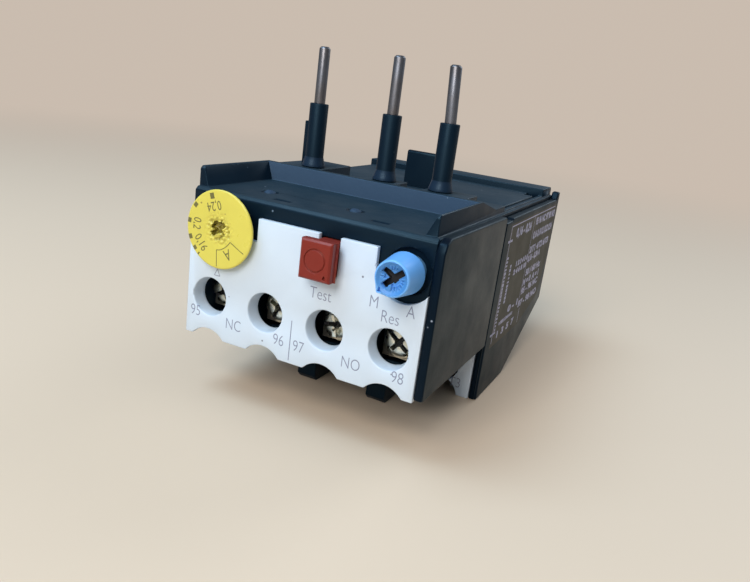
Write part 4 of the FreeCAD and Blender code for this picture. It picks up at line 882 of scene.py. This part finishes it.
# %% Tree: rows of dashes
dash_rows, given, result, dash_inputs = start_tree("Rows of dashes", [
    ("Length", FLOAT, 0.012), ("Dashes", "NodeSocketInt", 8), ("Height", FLOAT, 0.001), ("Thick", FLOAT, 0.00002),
    ("Seed", "NodeSocketInt", 1), ("Finish", "NodeSocketMaterial", None)])
pitch = maths(dash_rows, "DIVIDE", given["Length"], given["Dashes"])
row = add(dash_rows, "GeometryNodePoints", Count=given["Dashes"])
along = maths(dash_rows, "MULTIPLY", maths(dash_rows, "ADD", add(dash_rows, "GeometryNodeInputIndex").outputs[0], 0.5),
              pitch)
placed = add(dash_rows, "GeometryNodeSetPosition", Geometry=row.outputs[0],
             Position=add(dash_rows, "ShaderNodeCombineXYZ", X=along).outputs[0])
unit = add(dash_rows, "GeometryNodeMeshCube", Size=(1.0, 1.0, 1.0))
share = add(dash_rows, "FunctionNodeRandomValue", {"data_type": "FLOAT"})
tall = add(dash_rows, "FunctionNodeRandomValue", {"data_type": "FLOAT"})
for node, least, most, shift in ((share, 0.45, 0.95, 0), (tall, 0.65, 1.0, 50)):
    node.inputs[2].default_value, node.inputs[3].default_value = least, most
    dash_rows.links.new(maths(dash_rows, "ADD", given["Seed"], shift), node.inputs["Seed"])
grown = add(dash_rows, "ShaderNodeCombineXYZ", X=maths(dash_rows, "MULTIPLY", share.outputs[1], pitch),
            Y=maths(dash_rows, "MULTIPLY", tall.outputs[1], given["Height"]), Z=given["Thick"])
copies = add(dash_rows, "GeometryNodeInstanceOnPoints", Points=placed.outputs[0], Instance=unit.outputs[0],
             Scale=grown.outputs[0])
whole = add(dash_rows, "GeometryNodeRealizeInstances", Geometry=copies.outputs[0])
painted = add(dash_rows, "GeometryNodeSetMaterial", Geometry=whole.outputs[0], Material=given["Finish"])
dash_rows.links.new(painted.outputs[0], result)
print("tree:", dash_rows.name)

# %% Print the rating panel on the side
low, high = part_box("side_cover")
marks = []


def dash_row(y, z, length, height, dashes, seed, upright=False):
    """Row of dashes that starts y behind the front and z above the foot, in millimetres."""
    mesh = grow(dash_rows, dash_inputs, {
        "Length": length * MM, "Dashes": dashes, "Height": height * MM, "Thick": 2 * INK, "Seed": seed,
        "Finish": finishes["side_print"]})
    return set_down(mesh, y * MM, z * MM, math.pi / 2 if upright else 0.0)


for text, y, z, end, height in (
        ("95 96 NC 97 98 NO", 54.4, 32.3, 72.0, 1.45), ("0,16 0,18 0,2 0,22 0,24", 54.0, 29.4, 71.4, 1.45),
        ("2/T1 4/T2 6/T3", 53.5, 26.3, 70.4, 1.35), ("0,16 - 0,24 A", 53.2, 24.4, 64.0, 1.3),
        ("50 / 60 Hz", 53.6, 21.3, 66.6, 1.35), ("M = 0  A = 1", 53.2, 19.2, 66.9, 1.35),
        ("95 - 96 NC", 52.9, 17.3, 67.1, 1.35), ("97 - 98 NO", 52.2, 14.6, 68.0, 1.4), ("0 - 1", 44.0, 15.6, 51.6, 1.3),
        ("1  3  5  7", 38.0, 11.6, 50.2, 1.3), ("0,16 - 0,24", 39.4, 31.9, 50.8, 1.7),
        ("1 2 3 4 5 6", 43.4, 25.1, 52.6, 1.0), ("2 4 6 8 10", 42.6, 23.5, 52.4, 1.0)):
    label = lettering(text, height * MM, 1.0, 0.10 * MM)
    wide = max(v.co.x for v in label.vertices) - min(v.co.x for v in label.vertices)
    label.transform(Matrix.Diagonal(((end - y) * MM / wide, 1, 1, 1)))
    marks.append(set_down(label, (y + end) / 2 * MM, z * MM))
marks.append(dash_row(38.4, 13.9, 9.9, 0.9, 13, 9))
marks.append(dash_row(36.2, 12.9, 15.0, 1.1, 20, 31, True))
marks.append(dash_row(39.6, 17.8, 8.0, 1.3, 10, 32, True))
ground = slab([(y * MM, z * MM) for y, z in ((34.4, 9.8), (54.6, 9.6), (69.6, 13.2), (72.6, 22.0), (72.6, 34.4),
                                              (34.8, 34.2))], -INK, 0.3 * INK)
printed("side_panel", [ground], Vector((high.x, low.y - 0.2 * MM, 0.0)), SIDE, "label_ground", "case")
frame_line = [(35.2, 10.6), (35.4, 33.7), (71.4, 33.9)]
marks.append(stroke([(y * MM, z * MM) for y, z in frame_line], 0.22 * MM))
for y0, z0, y1, z1, width in ((34.2, 30.9, 37.1, 30.9, 0.45), (33.6, 12.6, 36.8, 12.6, 0.45),
                              (53.0, 33.6, 52.2, 14.0, 0.15), (54.4, 10.2, 54.2, 13.4, 0.2)):
    marks.append(stroke([(y0 * MM, z0 * MM), (y1 * MM, z1 * MM)], width * MM))
printed("side_print", marks, Vector((high.x, low.y - 0.2 * MM, 0.0)), SIDE, "side_print", "case")
print("side marks:", len(marks))

# %% [markdown]
# ## Marks on the tray floor
# The mould leaves two round ejector marks and two slots in the floor of the tray. The slots are deep,
# and a dark sheet in each slot and a dark disc in each ring are painted shade. Each mark has a blister
# of plastic in the middle, in a lighter finish that is a painted highlight.

# %% Set the blisters and the shadows in the tray
tray_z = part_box("top_cover")[1].z - 0.6 * MM
for name, x in (("1", -12.9), ("2", 3.52)):
    drop = turned([(0.0, 0.0), (1.05 * MM, 0.0), (1.0 * MM, 0.25 * MM), (0.72 * MM, 0.50 * MM), (0.35 * MM, 0.62 * MM),
                   (0.0, 0.64 * MM)], 32)
    for vertex in drop.vertices:
        vertex.co += Vector((0.12, 0.1, 0.16)) * MM * noise.noise(vertex.co / (0.6 * MM))
    for polygon in drop.polygons:
        polygon.use_smooth = True
    drop.transform(Matrix.Translation((x * MM, -25.8 * MM, tray_z - 0.33 * MM)))
    # The blister is in the lighter painted-sheen plastic, a painted highlight.
    keep(drop, "tray_blister_" + name, "painted_sheen_plastic", "case")
    # A dark disc in the ejector ring is a painted shadow.
    shadow = turned([(0.0, 0.0), (1.47 * MM, 0.0), (1.47 * MM, 0.05 * MM), (0.0, 0.05 * MM)], 32)
    shadow.transform(Matrix.Translation((x * MM, -25.8 * MM, tray_z - 0.36 * MM)))
    keep(shadow, "tray_ring_" + name, "painted_recess_shade", "case")
# A dark sheet in each slot is painted shade.
for name, x in (("1", -7.45), ("2", 10.05)):
    hollow = slab([((x + a) * MM, (b - 30.2) * MM) for a, b in ((-1.4, -0.55), (1.4, -0.55), (1.4, 0.55), (-1.4, 0.55))],
                  tray_z - 0.36 * MM, tray_z - 0.28 * MM)
    keep(hollow, "tray_slot_" + name, "painted_recess_shade", "case")
print("tray floor at mm", round(tray_z / MM, 2))

# %% [markdown]
# ## Finishes on the solids that stay as they are
# The pieces inside the case are hardly seen, but each keeps its own solid and gets the finish of
# its material slot, so that an opened relay looks right too.

# %% Give the other solids their finishes
for node, piece in nodes.items():
    if not piece.hide_render:
        piece.data.materials.clear()
        piece.data.materials.append(finishes[slot_of[node]])
print("plain solids finished:", sum(not piece.hide_render for piece in nodes.values()))

# %% [markdown]
# ## Floor, light and camera
# A wide pale floor carries the relay. Far away it fades into the colour of the backdrop, so that no
# horizon shows, and that backdrop is seen by the camera and in reflections but lights nothing. One
# large soft lamp stands in front, a cool one above draws the sheen on the sloping black faces, a weak
# one behind lights the rear edges, and the sky fills the shadows.

# %% Floor that fades into the backdrop
BACKDROP = (0.59, 0.505, 0.43, 1.0)


def only_seen(tree):
    """1 for what the camera sees directly, in a reflection or through glass, and 0 for lighting."""
    path = add(tree, "ShaderNodeLightPath").outputs
    seen = maths(tree, "ADD", path["Is Camera Ray"], path["Is Glossy Ray"])
    return maths(tree, "MINIMUM", maths(tree, "ADD", seen, path["Is Transmission Ray"]), 1.0)


floor_material = bpy.data.materials.new("pale_floor")
floor_material.use_nodes = True
tree = floor_material.node_tree
shader = tree.nodes["Principled BSDF"]
shader.inputs["Base Color"].default_value = (0.73, 0.58, 0.44, 1.0)
shader.inputs["Roughness"].default_value = 0.55
shader.inputs["Specular IOR Level"].default_value = 0.2
place = add(tree, "ShaderNodeTexCoord").outputs["Object"]
away = add(tree, "ShaderNodeVectorMath", {"operation": "LENGTH"})
tree.links.new(place, away.inputs[0])
fade = add(tree, "ShaderNodeMapRange", {"interpolation_type": "SMOOTHSTEP"}, Value=away.outputs["Value"],
           From_Min=0.12, From_Max=0.55)
glow = add(tree, "ShaderNodeEmission", Color=BACKDROP)
both = add(tree, "ShaderNodeMixShader")
tree.links.new(maths(tree, "MULTIPLY", fade.outputs[0], only_seen(tree)), both.inputs[0])
tree.links.new(shader.outputs[0], both.inputs[1])
tree.links.new(glow.outputs[0], both.inputs[2])
tree.links.new(both.outputs[0], tree.nodes["Material Output"].inputs["Surface"])
shape = bmesh.new()
bmesh.ops.create_grid(shape, x_segments=1, y_segments=1, size=6.0)
floor_mesh = bpy.data.meshes.new("floor")
shape.to_mesh(floor_mesh)
shape.free()
floor_mesh.materials.append(floor_material)
floor = bpy.data.objects.new("floor", floor_mesh)
bpy.context.scene.collection.objects.link(floor)
print("floor faces:", len(floor_mesh.polygons))

# %% Lamps and sky
def lamp(name, at, towards, size, power, colour):
    light = bpy.data.lights.new(name, "AREA")
    light.shape, light.size, light.energy, light.color = "SQUARE", size, power, colour
    holder = bpy.data.objects.new(name, light)
    bpy.context.scene.collection.objects.link(holder)
    look = (Vector(towards) - Vector(at)).to_track_quat("-Z", "Y")
    holder.matrix_world = Matrix.Translation(at) @ look.to_matrix().to_4x4()


lamp("key", (0.02, -0.66, 0.48), (0, 0, 0.02), 0.40, 4.8, (1.0, 0.98, 0.95))
lamp("top", (-0.24, -0.22, 0.60), (0, 0, 0.03), 0.36, 3.0, (0.55, 0.78, 1.0))
lamp("back", (0.25, 0.60, 0.45), (0, 0, 0.03), 0.40, 1.6, (0.80, 0.90, 1.0))
world = bpy.data.worlds.new("sky")
world.use_nodes = True
tree = world.node_tree
sky = tree.nodes["Background"]
sky.inputs["Color"].default_value = (0.78, 0.89, 1.0, 1.0)
sky.inputs["Strength"].default_value = 0.25
wall = add(tree, "ShaderNodeBackground", Color=BACKDROP, Strength=1.0)
path = add(tree, "ShaderNodeLightPath")
both = add(tree, "ShaderNodeMixShader")
tree.links.new(path.outputs["Is Camera Ray"], both.inputs[0])
tree.links.new(sky.outputs[0], both.inputs[1])
tree.links.new(wall.outputs[0], both.inputs[2])
tree.links.new(both.outputs[0], tree.nodes["World Output"].inputs["Surface"])
bpy.context.scene.world = world
bpy.context.scene.view_settings.view_transform = "Standard"
print("lamps: 3")

# %% Camera
camera = bpy.data.cameras.new("camera")
camera.lens, camera.sensor_width, camera.clip_start = 33.9, 36.0, 0.005
eye = bpy.data.objects.new("camera", camera)
bpy.context.scene.collection.objects.link(eye)
forward = Vector((-0.3911, 0.8747, -0.2864)).normalized()
right = Vector((0.8896, 0.4390, 0.1262))
right = (right - right.dot(forward) * forward).normalized()
up = right.cross(forward)
turn = Matrix((right, up, -forward)).transposed().to_4x4()
eye.matrix_world = Matrix.Translation((0.0534, -0.1257, 0.0564)) @ turn
bpy.context.scene.camera = eye
print("camera at", [round(c, 3) for c in eye.location])
